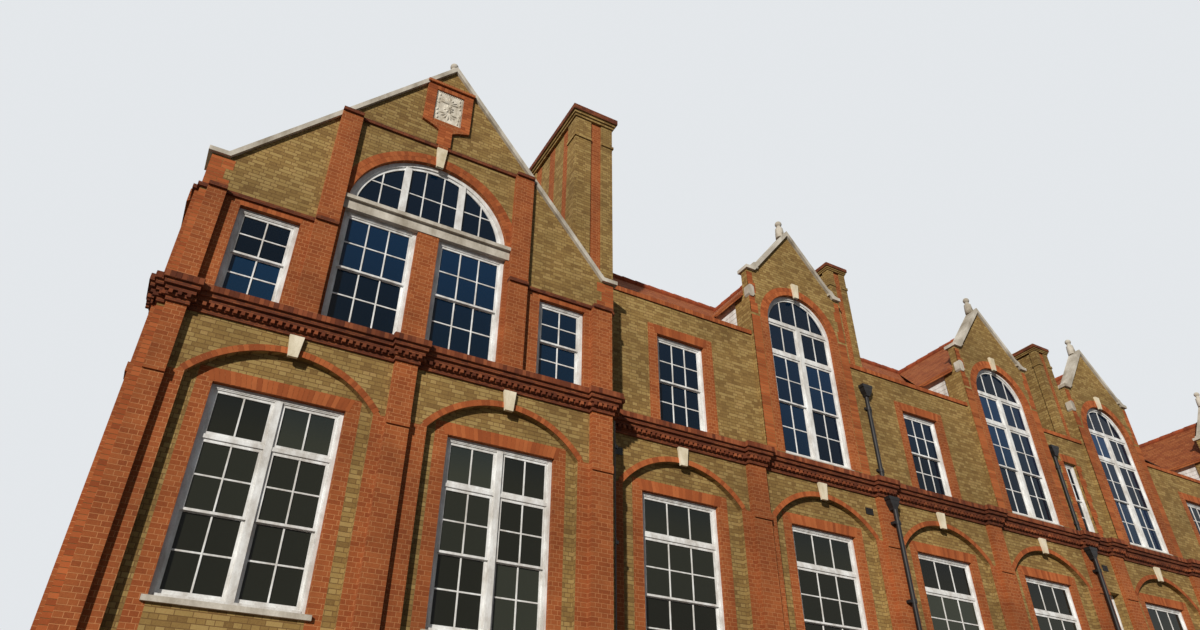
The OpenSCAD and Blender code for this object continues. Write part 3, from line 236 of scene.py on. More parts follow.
def wall_vector(tree):
    """Length along the wall, height, 0"""
    place = add(tree, "ShaderNodeTexCoord").outputs["Object"]
    split = add(tree, "ShaderNodeSeparateXYZ")
    tree.links.new(place, split.inputs[0])
    along = maths(tree, "ADD", split.outputs["X"], split.outputs["Y"])
    flat = add(tree, "ShaderNodeCombineXYZ")
    tree.links.new(along, flat.inputs["X"])
    tree.links.new(split.outputs["Z"], flat.inputs["Y"])
    return place, flat.outputs[0]


def brick_pattern(tree, vector, length, height, joint, squash):
    """The tone of each brick and where the joints are"""
    node = add(
        tree, "ShaderNodeTexBrick",
        offset=0.5, offset_frequency=2, squash=squash, squash_frequency=2,
    )
    for name, value in (
        ("Scale", 1.0), ("Brick Width", length), ("Row Height", height),
        ("Mortar Size", joint / 2), ("Mortar Smooth", 0.15), ("Bias", 0.0),
    ):
        node.inputs[name].default_value = value
    node.inputs["Color1"].default_value = (0, 0, 0, 1)
    node.inputs["Color2"].default_value = (1, 1, 1, 1)
    node.inputs["Mortar"].default_value = (0.5, 0.5, 0.5, 1)
    tree.links.new(vector, node.inputs["Vector"])
    return node.outputs["Color"], node.outputs["Fac"]


print("brick", BRICK, "by", COURSE, "m, with its joint of", JOINT)

# %% The brick finish
def brick_finish(name, kiln, mortar, joint, grime, length=BRICK, squash=0.5, share=0.52):
    """Share is how much of the tone is the brick's own: the rest is grain"""
    finish, tree, shader = new_finish(name, 0.9)
    place, flat = wall_vector(tree)
    tone, gap = brick_pattern(tree, flat, length, COURSE, joint, squash)
    grain = noise(tree, place, 38, 5, 0.7)
    colour = ramp(tree, blended(tree, tone, grain, share), kiln)
    dirt = grimed(tree, noise(tree, place, 0.55, 5, 0.62), grime)
    speck = noise(tree, place, 150, 2, 0.6)
    pores = ramp(tree, speck, [(0.34, grey(0.62)), (0.48, grey(1.0))])
    colour = mix(tree, "MULTIPLY", 0.75, colour, pores)
    colour = mix(tree, "MIX", gap, colour, mortar)
    colour = mix(tree, "MULTIPLY", 1.0, colour, dirt)
    tree.links.new(colour, shader.inputs["Base Color"])
    rough = maths(tree, "MULTIPLY", grain, 0.35)
    face = maths(tree, "SUBTRACT", rough, gap)
    face = maths(tree, "ADD", face, maths(tree, "MULTIPLY", tone, 0.12))
    bump(tree, shader, face, 0.006, 0.9)
    return finish


print("a header takes", BRICK / 2, "m of a course")

# %% The three bricks of the building
stock_brick = brick_finish(
    "stock_brick",
    [
        (0.10, linear(104, 78, 46)), (0.30, linear(136, 108, 64)), (0.50, linear(152, 124, 74)),
        (0.70, linear(168, 142, 90)), (0.90, linear(160, 122, 76)),
    ],
    linear(118, 90, 56), JOINT, 0.30,
)
red_brick = brick_finish(
    "red_brick",
    [
        (0.10, linear(130, 68, 38)), (0.35, linear(150, 80, 44)), (0.60, linear(162, 90, 50)),
        (0.85, linear(174, 104, 62)),
    ],
    linear(190, 126, 82), JOINT, 0.34, share=0.40,
)
moulded_brick = brick_finish(
    "moulded_brick",
    [
        (0.10, linear(84, 46, 32)), (0.40, linear(112, 60, 40)), (0.65, linear(130, 72, 46)),
        (0.90, linear(146, 88, 58)),
    ],
    linear(92, 60, 46), 0.006, 0.42, length=HALF_BRICK, squash=1.0,
)
print("bricks", stock_brick.name, red_brick.name, moulded_brick.name)

# %% [markdown]
# ## Stone, paint, iron, glass and tiles
# The stone is pale and stained where rain runs, so a wide noise darkens it. Paint is nearly
# plain with a little dirt. Roof tiles lie in courses: the pattern follows the slope, and
# each course is thickest at its lower edge, where a dark band is painted shade at the course line.

# %% Stone, paint and metal finishes
def weathered(name, clean, stained, amount, scale, roughness, relief, grain_scale=60):
    finish, tree, shader = new_finish(name, roughness)
    place = add(tree, "ShaderNodeTexCoord").outputs["Object"]
    stretch = add(tree, "ShaderNodeMapping")
    stretch.inputs["Scale"].default_value = (1.0, 1.0, 0.45)
    tree.links.new(place, stretch.inputs["Vector"])
    patch = noise(tree, stretch.outputs[0], scale, 6, 0.65)
    colour = ramp(tree, patch, [(0.5 - amount / 2, stained), (0.5 + amount / 2, clean)])
    grain = noise(tree, place, grain_scale, 4, 0.7)
    fleck = ramp(tree, grain, [(0.3, grey(0.82)), (0.6, grey(1.0))])
    colour = mix(tree, "MULTIPLY", 0.8, colour, fleck)
    tree.links.new(colour, shader.inputs["Base Color"])
    bump(tree, shader, grain, relief, 0.7)
    return finish


white_stone = weathered(
    "white_stone", linear(236, 226, 202), linear(196, 182, 152), 0.30, 4.0, 0.8, 0.002,
)
stained_stone = weathered(
    "stained_stone", linear(214, 208, 196), linear(140, 130, 114), 0.36, 2.2, 0.9, 0.003,
)
carved_stone = weathered(
    "carved_stone", linear(232, 226, 212), linear(170, 160, 142), 0.34, 9.0, 0.85, 0.0015,
)
painted_timber = weathered(
    "painted_timber", linear(238, 240, 240), linear(190, 186, 180), 0.30, 5.0, 0.5, 0.0006,
)
black_iron = weathered(
    "black_iron", linear(44, 42, 42), linear(28, 26, 26), 0.3, 3.0, 0.5, 0.001,
)
floor_timber = weathered(
    "floor_timber", linear(158, 134, 104), linear(120, 96, 68), 0.3, 2.0, 0.7, 0.001,
)
door_paint = weathered(
    "door_paint", linear(46, 78, 66), linear(36, 60, 52), 0.3, 3.0, 0.45, 0.0005,
)
print("stone and paint", white_stone.name, stained_stone.name, painted_timber.name)

# %% Glass
window_glass, tree, shader = new_finish("window_glass", 0.04)
place = add(tree, "ShaderNodeTexCoord").outputs["Object"]
split = add(tree, "ShaderNodeSeparateXYZ")
tree.links.new(place, split.inputs[0])
GLASS_TOP = 14.0
height = maths(tree, "DIVIDE", split.outputs["Z"], GLASS_TOP)
own = add(tree, "ShaderNodeAttribute", attribute_name="tone").outputs["Fac"]
# Painted reflection: the glass is coloured by height, brown-dark low down and dark blue higher up,
# where the real panes mirror the sky.
painted_reflection_by_height = ramp(tree, height, [
    (0.50, linear(46, 46, 38)), (0.60, linear(14, 28, 38)), (0.95, linear(12, 40, 64)),
])
# Each pane's own tone brightens it and tints it blue: painted reflection of the sky, stronger in
# some panes than in others.
painted_pane_reflection = ramp(tree, own, [(0.0, (0.5, 0.5, 0.5)), (0.7, (1.1, 1.2, 1.3)), (1.0, (2.2, 2.5, 2.8))])
tree.links.new(mix(tree, "MULTIPLY", 1.0, painted_reflection_by_height, painted_pane_reflection), shader.inputs["Base Color"])
shader.inputs["Specular IOR Level"].default_value = 0.12
shader.inputs["Alpha"].default_value = 0.92
ripple = noise(tree, place, 1.3, 2, 0.5)
bump(tree, shader, ripple, 0.004, 0.5)
print("glass is darker and bluer up to", GLASS_TOP, "m")

# %% Roof tiles
def tile_finish(name, kiln, gauge, width, slope):
    finish, tree, shader = new_finish(name, 0.85)
    place = add(tree, "ShaderNodeTexCoord").outputs["Object"]
    split = add(tree, "ShaderNodeSeparateXYZ")
    tree.links.new(place, split.inputs[0])
    normal = add(tree, "ShaderNodeNewGeometry").outputs["Normal"]
    facing = add(tree, "ShaderNodeSeparateXYZ")
    tree.links.new(normal, facing.inputs[0])
    sideways = maths(tree, "GREATER_THAN", maths(tree, "ABSOLUTE", facing.outputs["X"]), 0.4)
    along_x = maths(tree, "MULTIPLY", split.outputs["X"], maths(tree, "SUBTRACT", 1.0, sideways))
    along_y = maths(tree, "MULTIPLY", split.outputs["Y"], sideways)
    along = maths(tree, "ADD", along_x, along_y)
    rise = gauge * math.sin(slope)
    flat = add(tree, "ShaderNodeCombineXYZ")
    tree.links.new(along, flat.inputs["X"])
    tree.links.new(split.outputs["Z"], flat.inputs["Y"])
    tone, gap = brick_pattern(tree, flat.outputs[0], width, rise, 0.004, 1.0)
    grain = noise(tree, place, 20, 4, 0.7)
    colour = ramp(tree, blended(tree, tone, grain, 0.6), kiln)
    # Painted shade: each course is darkened along its lower edge, where the course line falls in
    # shade.
    step = maths(tree, "FRACT", maths(tree, "DIVIDE", split.outputs["Z"], rise))
    painted_course_shade = ramp(tree, step, [(0.0, grey(0.22)), (0.26, grey(1.0))])
    colour = mix(tree, "MULTIPLY", 0.9, colour, painted_course_shade)
    colour = mix(tree, "MIX", maths(tree, "MULTIPLY", gap, 0.6), colour, linear(60, 26, 16))
    tree.links.new(colour, shader.inputs["Base Color"])
    lift = maths(tree, "SUBTRACT", 1.0, step)
    lift = maths(tree, "SUBTRACT", lift, maths(tree, "MULTIPLY", gap, 0.5))
    bump(tree, shader, lift, 0.014, 0.9)
    return finish


ROOF_SLOPE = math.radians(50)
TILE_GAUGE = 0.100
TILE_W = 0.165
roof_tile = tile_finish(
    "roof_tile",
    [
        (0.1, linear(122, 64, 38)), (0.4, linear(142, 78, 45)), (0.65, linear(152, 88, 52)),
        (0.9, linear(164, 102, 62)),
    ],
    TILE_GAUGE, TILE_W, ROOF_SLOPE,
)
print("tiles show", TILE_GAUGE, "m of their length")

# %% Dress the carried solids
FINISHES = {
    "stock_brick": stock_brick, "red_brick": red_brick, "moulded_brick": moulded_brick,
    "white_stone": white_stone, "stained_stone": stained_stone, "carved_stone": carved_stone,
    "roof_tile": roof_tile, "painted_timber": painted_timber, "window_glass": window_glass,
    "black_iron": black_iron, "floor_timber": floor_timber, "door_paint": door_paint,
}
for part in frame["record"]["subparts"]:
    solid = nodes[part["node"]]
    for place in solid.material_slots:
        place.material = FINISHES[part["material_slot"]]
print("dressed", len(nodes), "solids")

# %% [markdown]
# ## One tool for everything that repeats
# Glazing bars, dentils, arch bricks and corner bricks are all small blocks set in rows. A
# Geometry Nodes tree puts a block on every point of a cloud, turned and sized by the
# point's own attributes. The tree ends in Realize Instances and Set Material.

# %% Small helpers for pieces
def placed(name, data):
    """A new object at the origin, linked to the scene"""
    thing = bpy.data.objects.new(name, data)
    bpy.context.collection.objects.link(thing)
    return thing


def one_finish(mesh, finish):
    mesh.materials.clear()
    mesh.materials.append(finish)
    mesh.polygons.foreach_set("material_index", [0] * len(mesh.polygons))


def finished(name, mesh, finish, stands_for=()):
    """The mesh as a piece of its own, which rides on the building"""
    one_finish(mesh, finish)
    piece = placed(name, mesh)
    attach(piece, "root")
    if stands_for:
        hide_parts(*stands_for)
    print(name, len(mesh.polygons), "faces")
    return piece


# %% Grow a tree into a plain mesh
def grown(name, mesh, tree, values):
    """A carrier whose modifier grows the tree, with each input set by its identifier"""
    carrier = placed(name + "_carrier", mesh)
    modifier = carrier.modifiers.new("tree", "NODES")
    modifier.node_group = tree
    for item in tree.interface.items_tree:
        if item.in_out == "INPUT" and item.name in values:
            modifier[item.identifier] = values[item.name]
    return carrier


def plain_copy(carrier, name):
    """The evaluated carrier as one plain mesh; the carrier goes"""
    graph = bpy.context.evaluated_depsgraph_get()
    mesh = bpy.data.meshes.new_from_object(carrier.evaluated_get(graph))
    mesh.name = name
    bpy.data.objects.remove(carrier)
    return mesh


def close_tree(tree, start, end, instances):
    """Realize the instances and set their material, as every tree here ends"""
    real = tree.nodes.new("GeometryNodeRealizeInstances")
    tree.links.new(instances, real.inputs["Geometry"])
    paint = tree.nodes.new("GeometryNodeSetMaterial")
    tree.links.new(real.outputs["Geometry"], paint.inputs["Geometry"])
    tree.links.new(start.outputs["Finish"], paint.inputs["Material"])
    tree.links.new(paint.outputs["Geometry"], end.inputs["Geometry"])


print("trees so far", len(bpy.data.node_groups))

# %% The block tree
def block_tree():
    tree = bpy.data.node_groups.new("blocks_on_points", "GeometryNodeTree")
    face = tree.interface
    face.new_socket("Geometry", in_out="INPUT", socket_type="NodeSocketGeometry")
    face.new_socket("Block Edge", in_out="INPUT", socket_type="NodeSocketFloat")
    face.new_socket("Finish", in_out="INPUT", socket_type="NodeSocketMaterial")
    face.new_socket("Geometry", in_out="OUTPUT", socket_type="NodeSocketGeometry")
    start = tree.nodes.new("NodeGroupInput")
    end = tree.nodes.new("NodeGroupOutput")
    cube = tree.nodes.new("GeometryNodeMeshCube")
    size = tree.nodes.new("ShaderNodeCombineXYZ")
    for axis in range(3):
        tree.links.new(start.outputs["Block Edge"], size.inputs[axis])
    tree.links.new(size.outputs[0], cube.inputs["Size"])
    place = tree.nodes.new("GeometryNodeInstanceOnPoints")
    tree.links.new(start.outputs["Geometry"], place.inputs["Points"])
    tree.links.new(cube.outputs["Mesh"], place.inputs["Instance"])
    for attribute, socket in (("turn", "Rotation"), ("extent", "Scale")):
        own = tree.nodes.new("GeometryNodeInputNamedAttribute")
        own.data_type = "FLOAT_VECTOR"
        own.inputs["Name"].default_value = attribute
        tree.links.new(own.outputs["Attribute"], place.inputs[socket])
    close_tree(tree, start, end, place.outputs["Instances"])
    return tree


BLOCKS = block_tree()
print("block tree of", len(BLOCKS.nodes), "nodes")

# %% Lay blocks on a cloud of points
def lay_blocks(name, blocks, finish, stands_for=(), bevel=0.0):
    """Blocks are (middle, size, turn about y); the result is one plain mesh"""
    cloud = bpy.data.meshes.new(name + "_cloud")
    cloud.from_pydata([block[0] for block in blocks], [], [])
    for attribute in ("extent", "turn"):
        cloud.attributes.new(attribute, "FLOAT_VECTOR", "POINT")
    cloud.attributes.new("tone", "FLOAT", "POINT")
    extents = cloud.attributes["extent"].data
    turns = cloud.attributes["turn"].data
    tones = cloud.attributes["tone"].data
    chance = random.Random(len(blocks))
    for index, (_, size, angle) in enumerate(blocks):
        extents[index].vector = size
        turns[index].vector = (0, angle, 0)
        tones[index].value = chance.random()
    carrier = grown(name, cloud, BLOCKS, {"Block Edge": 1.0, "Finish": finish})
    if bevel:
        edge_round = carrier.modifiers.new("edges", "BEVEL")
        edge_round.width = bevel
        edge_round.segments = 1
        edge_round.limit_method = "ANGLE"
    mesh = plain_copy(carrier, name)
    for spare in ("extent", "turn"):
        if spare in mesh.attributes:
            mesh.attributes.remove(mesh.attributes[spare])
    return finished(name, mesh, finish, stands_for)


def span(x0, x1, y0, y1, z0, z1):
    """A block between six planes"""
    middle = ((x0 + x1) / 2, (y0 + y1) / 2, (z0 + z1) / 2)
    return middle, (abs(x1 - x0), abs(y1 - y0), abs(z1 - z0)), 0.0


print("one brick as a block", span(0, BRICK, 0, HALF_BRICK, 0, COURSE))

# %% [markdown]
# ## Thin gables
# Above the parapet the wing's gables are only one brick thick, under a slim coping with
# short kneelers, and the roof behind them starts at their backs. The carried solids are
# drawn with the full wall. Each is a plain extrusion, so a merged copy whose back corners
# are moved forward gives the real thickness, and the copy stands for its solid. The cross
# roofs' eaves are turned up about their ridges, and the piers return to meet them.

# %% Copies with their corners moved
GABLE_BACK = WING_PIER_Y + GABLE_T
WALL_BACK = WING_PIER_Y + 0.562
COPING_OUT = 0.070
PARAPET = 11.990
ROOF_DROP = 0.240


def merged_copy(node):
    """The carried solid's mesh as one closed surface"""
    bm = bmesh.new()
    bm.from_mesh(nodes[node].data)
    bmesh.ops.remove_doubles(bm, verts=bm.verts, dist=0.0002)
    flat = [e for e in bm.edges if len(e.link_faces) == 2 and e.calc_face_angle() < 0.01]
    bmesh.ops.dissolve_edges(bm, edges=flat, use_verts=False, use_face_split=False)
    bm.normal_update()
    return bm


def plain_piece(name, bm, finish, stands_for=()):
    """The built shape as a piece, with its faces outwards"""
    bmesh.ops.recalc_face_normals(bm, faces=bm.faces)
    mesh = bpy.data.meshes.new(name)
    bm.to_mesh(mesh)
    bm.free()
    return finished(name, mesh, finish, stands_for)


def from_gable_middle(x):
    """How far x is from the middle of the nearest gable"""
    return min((x - bay_mid[i] for i in GABLES), key=abs)


print("gables are", GABLE_T, "m thick in place of", round(WALL_BACK - WING_PIER_Y, 3))

# %% Raise the eaves of the cross roofs
# The cross roofs die into a plane that lies a little under the main roof's tiles
CROSS_TOP = 14.990
CROSS_FOOT = 12.818
CROSS_T = 0.307
CROSS_REACH = 1.570
CROSS_PITCH = (CROSS_TOP - CROSS_FOOT) / CROSS_REACH
EAVES_RISE = 0.420
MAIN_FOOT = PARAPET - ROOF_DROP
MAIN_PITCH = (CROSS_TOP - MAIN_FOOT) / (RIDGE_Y - WALL_BACK)
TILED_PITCH = (WING_RIDGE - MAIN_FOOT) / (RIDGE_Y - WALL_BACK)
RAISED_PITCH = CROSS_PITCH - EAVES_RISE / CROSS_REACH
THINNER = 0.187
print("cross roofs at", round(math.degrees(math.atan(RAISED_PITCH)), 1), "degrees")


def raise_eaves(bm):
    """Turn the slopes of the cross roofs up about their ridges"""
    for corner in bm.verts:
        reach = abs(from_gable_middle(corner.co.x))
        drop = CROSS_TOP - reach * CROSS_PITCH - corner.co.z
        if min(abs(drop), abs(drop - CROSS_T)) > 0.005:
            continue
        rise = EAVES_RISE * reach / CROSS_REACH
        main_roof = MAIN_FOOT + (corner.co.y - WALL_BACK) * MAIN_PITCH
        meets_main = abs(corner.co.z - main_roof) < 0.008
        if abs(drop) > CROSS_T / 2:
            rise += THINNER
        corner.co.z += rise
        if meets_main:
            corner.co.y += rise / MAIN_PITCH


# %% Slim the gables and what lies on them
KNEELER_Z = 13.8
KNEELER_INNER = (1.1, 1.3)
KNEELER_OUTER = 1.54
INNER_OUT = 0.110
OUTER_IN = 0.025


def slimmed(name, node, finish, out=0.0, raised=False):
    """Move the back face forward and draw the kneelers in"""
    bm = merged_copy(node)
    if raised:
        raise_eaves(bm)
    for corner in bm.verts:
        reach = from_gable_middle(corner.co.x)
        side = 1 if reach > 0 else -1
        if abs(corner.co.y - WALL_BACK - out) < 0.002:
            corner.co.y = GABLE_BACK + out
        if KNEELER_INNER[0] < abs(reach) < KNEELER_INNER[1] and corner.co.z > KNEELER_Z:
            corner.co.x += side * INNER_OUT
        if abs(reach) > KNEELER_OUTER and corner.co.z > KNEELER_Z:
            corner.co.x -= side * OUTER_IN
    return plain_piece(name, bm, finish, (node,))


slimmed("gable_walls", "wing_gable_walls", stock_brick)
slimmed("slim_copings", "gable_copings", stained_stone, out=COPING_OUT)
slimmed("gable_roofs", "cross_roofs", roof_tile, raised=True)
slimmed("boarded_cheeks", "dormer_cheeks", painted_timber, raised=True)

# %% Piers with their returns up to the eaves
def add_box(bm, x0, x1, y0, y1, z0, z1):
    place = Matrix.Translation(((x0 + x1) / 2, (y0 + y1) / 2, (z0 + z1) / 2))
    size = Matrix.Diagonal((x1 - x0, y1 - y0, z1 - z0, 1))
    bmesh.ops.create_cube(bm, size=1.0, matrix=place @ size)


RETURN_TOP = 13.210
PIER_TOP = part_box("wing_gable_piers")[1][2]
RETURN_W = 0.300
piers = merged_copy("wing_gable_piers")
for i in GABLES:
    for side in (-1, 1):
        x0, x1 = sorted(bay_mid[i] + side * reach for reach in (GABLE_HALF - RETURN_W, GABLE_HALF))
        add_box(piers, x0, x1, GABLE_BACK, WALL_BACK, PIER_TOP, RETURN_TOP)
plain_piece("gable_piers", piers, stock_brick, ("wing_gable_piers",))

# %% Finials on the thin gables
FINIAL_BACK = 0.158
FINIAL_RISE = 0.100
FINIAL_NECK = 15.58
tops = merged_copy("finials")
for corner in tops.verts:
    if corner.co.x > PAV_RIGHT:
        corner.co.y -= FINIAL_BACK
        if corner.co.z > FINIAL_NECK:
            corner.co.z += FINIAL_RISE
plain_piece("stone_finials", tops, stained_stone, ("finials",))

# %% [markdown]
# ## Chimneys
# The stacks have corner piers, red strips sunk between them, a projecting band and a cap
# that steps out. Boxes give the stack its steps. A Boolean joins them to one shell and
# bores the flues, which keeps the faces clean where the boxes pass through each other.

# %% Stacks with stepped caps
CAP_STEPS = [(0.035, 0.080), (0.070, 0.080), (0.105, 0.160), (0.050, 0.060)]
CAP_H = 0.380
STRIP_IN = 0.040
STRIP_OUT = 0.008
LAP = 0.010


def stack(bm, x0, x1, y0, y1, foot, top, left_w, right_w, side_w, band, band_out, share):
    """Core, four corner piers, band and cap of one stack"""
    cap = top - share * CAP_H
    add_box(bm, x0 + STRIP_IN, x1 - STRIP_IN, y0 + STRIP_IN, y1 - STRIP_IN, foot, cap + LAP)
    for out, low, high in ((0, foot, cap), (band_out, cap - band, cap - band + COURSE)):
        for a, b in ((y0 - out, y0 + side_w), (y1 - side_w, y1 + out)):
            add_box(bm, x0 - out, x0 + left_w, a, b, low, high)
            add_box(bm, x1 - right_w, x1 + out, a, b, low, high)
    z = cap
    for step, height in CAP_STEPS:
        out = share * step
        add_box(bm, x0 - out, x1 + out, y0 - out, y1 + out, z, z + share * height)
        z += share * height


print("a full cap is", CAP_H, "m high")

# %% Join the boxes and bore the flues
FLUE_SIDES = 24


def bored(name, bm, flues, finish, stands_for):
    """Join the boxes to one shell and bore the flues"""
    drill = bmesh.new()
    for x, y, z, radius, depth in flues:
        bmesh.ops.create_cone(
            drill, cap_ends=True, segments=FLUE_SIDES, radius1=radius, radius2=radius,
            depth=2 * depth, matrix=Matrix.Translation((x, y, z)),
        )
    pair = []
    for part, shape in (("_boxes", bm), ("_flues", drill)):
        pair.append(placed(name + part, bpy.data.meshes.new(name + part)))
        shape.to_mesh(pair[-1].data)
        shape.free()
    body, cutter = pair
    boolean = body.modifiers.new("flues", "BOOLEAN")
    boolean.operation = "DIFFERENCE"
    boolean.solver = "EXACT"
    boolean.use_self = True
    boolean.object = cutter
    mesh = plain_copy(body, name)
    bpy.data.objects.remove(cutter)
    return finished(name, mesh, finish, stands_for)


print("a flue is drilled with", FLUE_SIDES, "sides")

# %% The great stack
STACK_X0, STACK_X1 = LEFT + 7.410, LEFT + 8.460
STACK_Y0, STACK_Y1 = PILASTER_Y + 1.150, PILASTER_Y + 3.950
STACK_FOOT = 11.790
STACK_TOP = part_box("main_chimney")[1][2]
STACK_PIER, STACK_STRIP, STACK_RIGHT = 0.440, 0.290, 0.320
STACK_BAND, STACK_BAND_OUT = 0.700, 0.030
FLUE_R, FLUE_DEEP, FLUE_PITCH = 0.130, 0.900, 0.700
great = bmesh.new()
add_box(great, PAV_RIGHT, STACK_X1, STACK_Y0, STACK_Y1, 0, STACK_FOOT + LAP)
stack(
    great, STACK_X0, STACK_X1, STACK_Y0, STACK_Y1, STACK_FOOT, STACK_TOP,
    STACK_PIER, STACK_RIGHT, STACK_PIER, STACK_BAND, STACK_BAND_OUT, 1.0,
)
middle_x = (STACK_X0 + STACK_X1) / 2
flue_y = [STACK_Y0 + FLUE_PITCH * (k + 0.5) for k in range(4)]
flues = [(middle_x, y, STACK_TOP, FLUE_R, FLUE_DEEP) for y in flue_y]
bored("great_stack", great, flues, stock_brick, ("main_chimney",))

# %% The small stacks between the gables
SMALL_HALF = 0.300
SMALL_PIER = 0.200
SMALL_Y0 = WING_FACE + 0.060
SMALL_Y1 = SMALL_Y0 + 1.100
SMALL_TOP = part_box("gable_chimneys")[1][2]
SMALL_BAND, SMALL_BAND_OUT = 0.500, 0.020
SMALL_SHARE = 0.6
SMALL_FLUE_R, SMALL_FLUE_DEEP = 0.120, 0.800
STACKS = [bay_left[2], bay_left[5]]
small_stacks = bmesh.new()
flues = []
for x in STACKS:
    add_box(small_stacks, x - SMALL_HALF, x + SMALL_HALF, WALL_BACK, SMALL_Y1, 0, PARAPET + LAP)
    stack(
        small_stacks, x - SMALL_HALF, x + SMALL_HALF, SMALL_Y0, SMALL_Y1, PARAPET, SMALL_TOP,
        SMALL_PIER, SMALL_PIER, SMALL_PIER, SMALL_BAND, SMALL_BAND_OUT, SMALL_SHARE,
    )
    for y in (SMALL_Y0 + SMALL_HALF, SMALL_Y1 - SMALL_HALF):
        flues.append((x, y, SMALL_TOP, SMALL_FLUE_R, SMALL_FLUE_DEEP))
bored("small_stacks", small_stacks, flues, stock_brick, ("gable_chimneys",))

# %% Dark red course round the caps
SLIP = 0.005


def course_round(bm, x0, x1, y0, y1, top, share):
    """Four slips against the widest step of a cap"""
    out = share * CAP_STEPS[2][0]
    z1 = top - share * CAP_STEPS[3][1]
    z0 = z1 - share * CAP_STEPS[2][1]
    x0, x1, y0, y1 = x0 - out, x1 + out, y0 - out, y1 + out
    add_box(bm, x0 - SLIP, x1 + SLIP, y0 - SLIP, y0, z0, z1)
    add_box(bm, x0 - SLIP, x1 + SLIP, y1, y1 + SLIP, z0, z1)
    add_box(bm, x0 - SLIP, x0, y0, y1, z0, z1)
    add_box(bm, x1, x1 + SLIP, y0, y1, z0, z1)


courses = bmesh.new()
course_round(courses, STACK_X0, STACK_X1, STACK_Y0, STACK_Y1, STACK_TOP, 1.0)
for x in STACKS:
    ends = x - SMALL_HALF, x + SMALL_HALF
    course_round(courses, *ends, SMALL_Y0, SMALL_Y1, SMALL_TOP, SMALL_SHARE)
plain_piece("cap_courses", courses, moulded_brick)

# %% Red strips between the piers
def roof_at(y):
    """Height of the wing's roof at y"""
    return MAIN_FOOT + (y - WALL_BACK) * TILED_PITCH


PARAPET_TOP = PARAPET + 0.115
STACK_CAP = STACK_TOP - CAP_H
STRIP_FOOT = PARAPET + 0.300
strips = bmesh.new()
front_y = STACK_Y0 + STRIP_IN
side_x = STACK_X0 + STRIP_IN
strip_x = STACK_X0 + STACK_PIER
add_box(
    strips, strip_x, strip_x + STACK_STRIP, front_y - STRIP_OUT, front_y, STRIP_FOOT, STACK_CAP,
)
for y in (
    STACK_Y0 + STACK_PIER, (STACK_Y0 + STACK_Y1 - STACK_STRIP) / 2,
    STACK_Y1 - STACK_PIER - STACK_STRIP,
):
    clear = roof_at(y + STACK_STRIP) + 0.100
    add_box(strips, side_x - STRIP_OUT, side_x, y, y + STACK_STRIP, clear, STACK_CAP)
gap = SMALL_HALF - SMALL_PIER
front_y = SMALL_Y0 + STRIP_IN
for x in STACKS:
    add_box(
        strips, x - gap, x + gap, front_y - STRIP_OUT, front_y,
        PARAPET_TOP, SMALL_TOP - SMALL_SHARE * CAP_H,
    )
plain_piece("red_strips", strips, red_brick, ("chimney_strips",))

# %% [markdown]
# ## Sash windows
# The real windows are box sashes: a deep lining stands a little behind the brick, the two
# sashes slide in it one behind the other, and thin bars part the panes. Each timber is one
# straight block, so a list of spans describes a window, and the block tree makes them all.
# A window is drawn in its own wall's terms, along, behind the face and up, and then turned
# to the wall that it stands in.

# %% Timbers of one window
LINING = 0.057
LINING_FRONT = 0.084
LINING_BACK = HALF_BRICK + FRAME_D
BEAD = 0.018
TIMBER_SILL = 0.065
SASH_FRONT = 0.112
SASH_T = 0.040
SASH_GAP = 0.010
SASH_FOOT = 0.060
MEETING_HALF = 0.020
STILE = 0.050
BAR = 0.026
BAR_T = 0.030
BAR_IN = 0.004
CROSS_BAR_IN = 0.003
PANE_T = 0.006
MULLION_HALF = 0.056
TRANSOM_Z = (6.740, 6.806)
FIRST_MEETING = 5.690


class Joinery:
    """Collects the timbers and panes of the windows in one storey"""

    def __init__(self):
        self.timbers = []
        self.panes = []

    def timber(self, turn, u0, u1, d0, d1, z0, z1):
        self.timbers.append(turn(u0, u1, d0, d1, z0, z1))


print("box frames lie", LINING_FRONT, "to", LINING_BACK, "m behind the brick")

# %% One sash or fixed light
def light(store, turn, u0, u1, z0, z1, depth, columns, rows, stile=STILE, foot=None):
    """One sash or fixed light: stiles, rails, bars and a pane of glass"""
    foot = stile if foot is None else foot
    back = depth + SASH_T
    store.timber(turn, u0, u0 + stile, depth, back, z0, z1)
    store.timber(turn, u1 - stile, u1, depth, back, z0, z1)
    store.timber(turn, u0 + stile, u1 - stile, depth, back, z0, z0 + foot)
    store.timber(turn, u0 + stile, u1 - stile, depth, back, z1 - stile, z1)
    a0, a1 = u0 + stile, u1 - stile
    b0, b1 = z0 + foot, z1 - stile
    fore = depth + BAR_IN
    for k in range(1, columns):
        u = a0 + (a1 - a0) * k / columns
        store.timber(turn, u - BAR / 2, u + BAR / 2, fore, fore + BAR_T, b0, b1)
    fore += CROSS_BAR_IN
    aft = fore + BAR_T - 2 * CROSS_BAR_IN
    for k in range(1, rows):
        z = b0 + (b1 - b0) * k / rows
        store.timber(turn, a0, a1, fore, aft, z - BAR / 2, z + BAR / 2)
    glass = depth + SASH_T / 2
    store.panes.append(turn(a0, a1, glass, glass + PANE_T, b0, b1))


print("glazing bars", BAR, "by", BAR_T, "m")

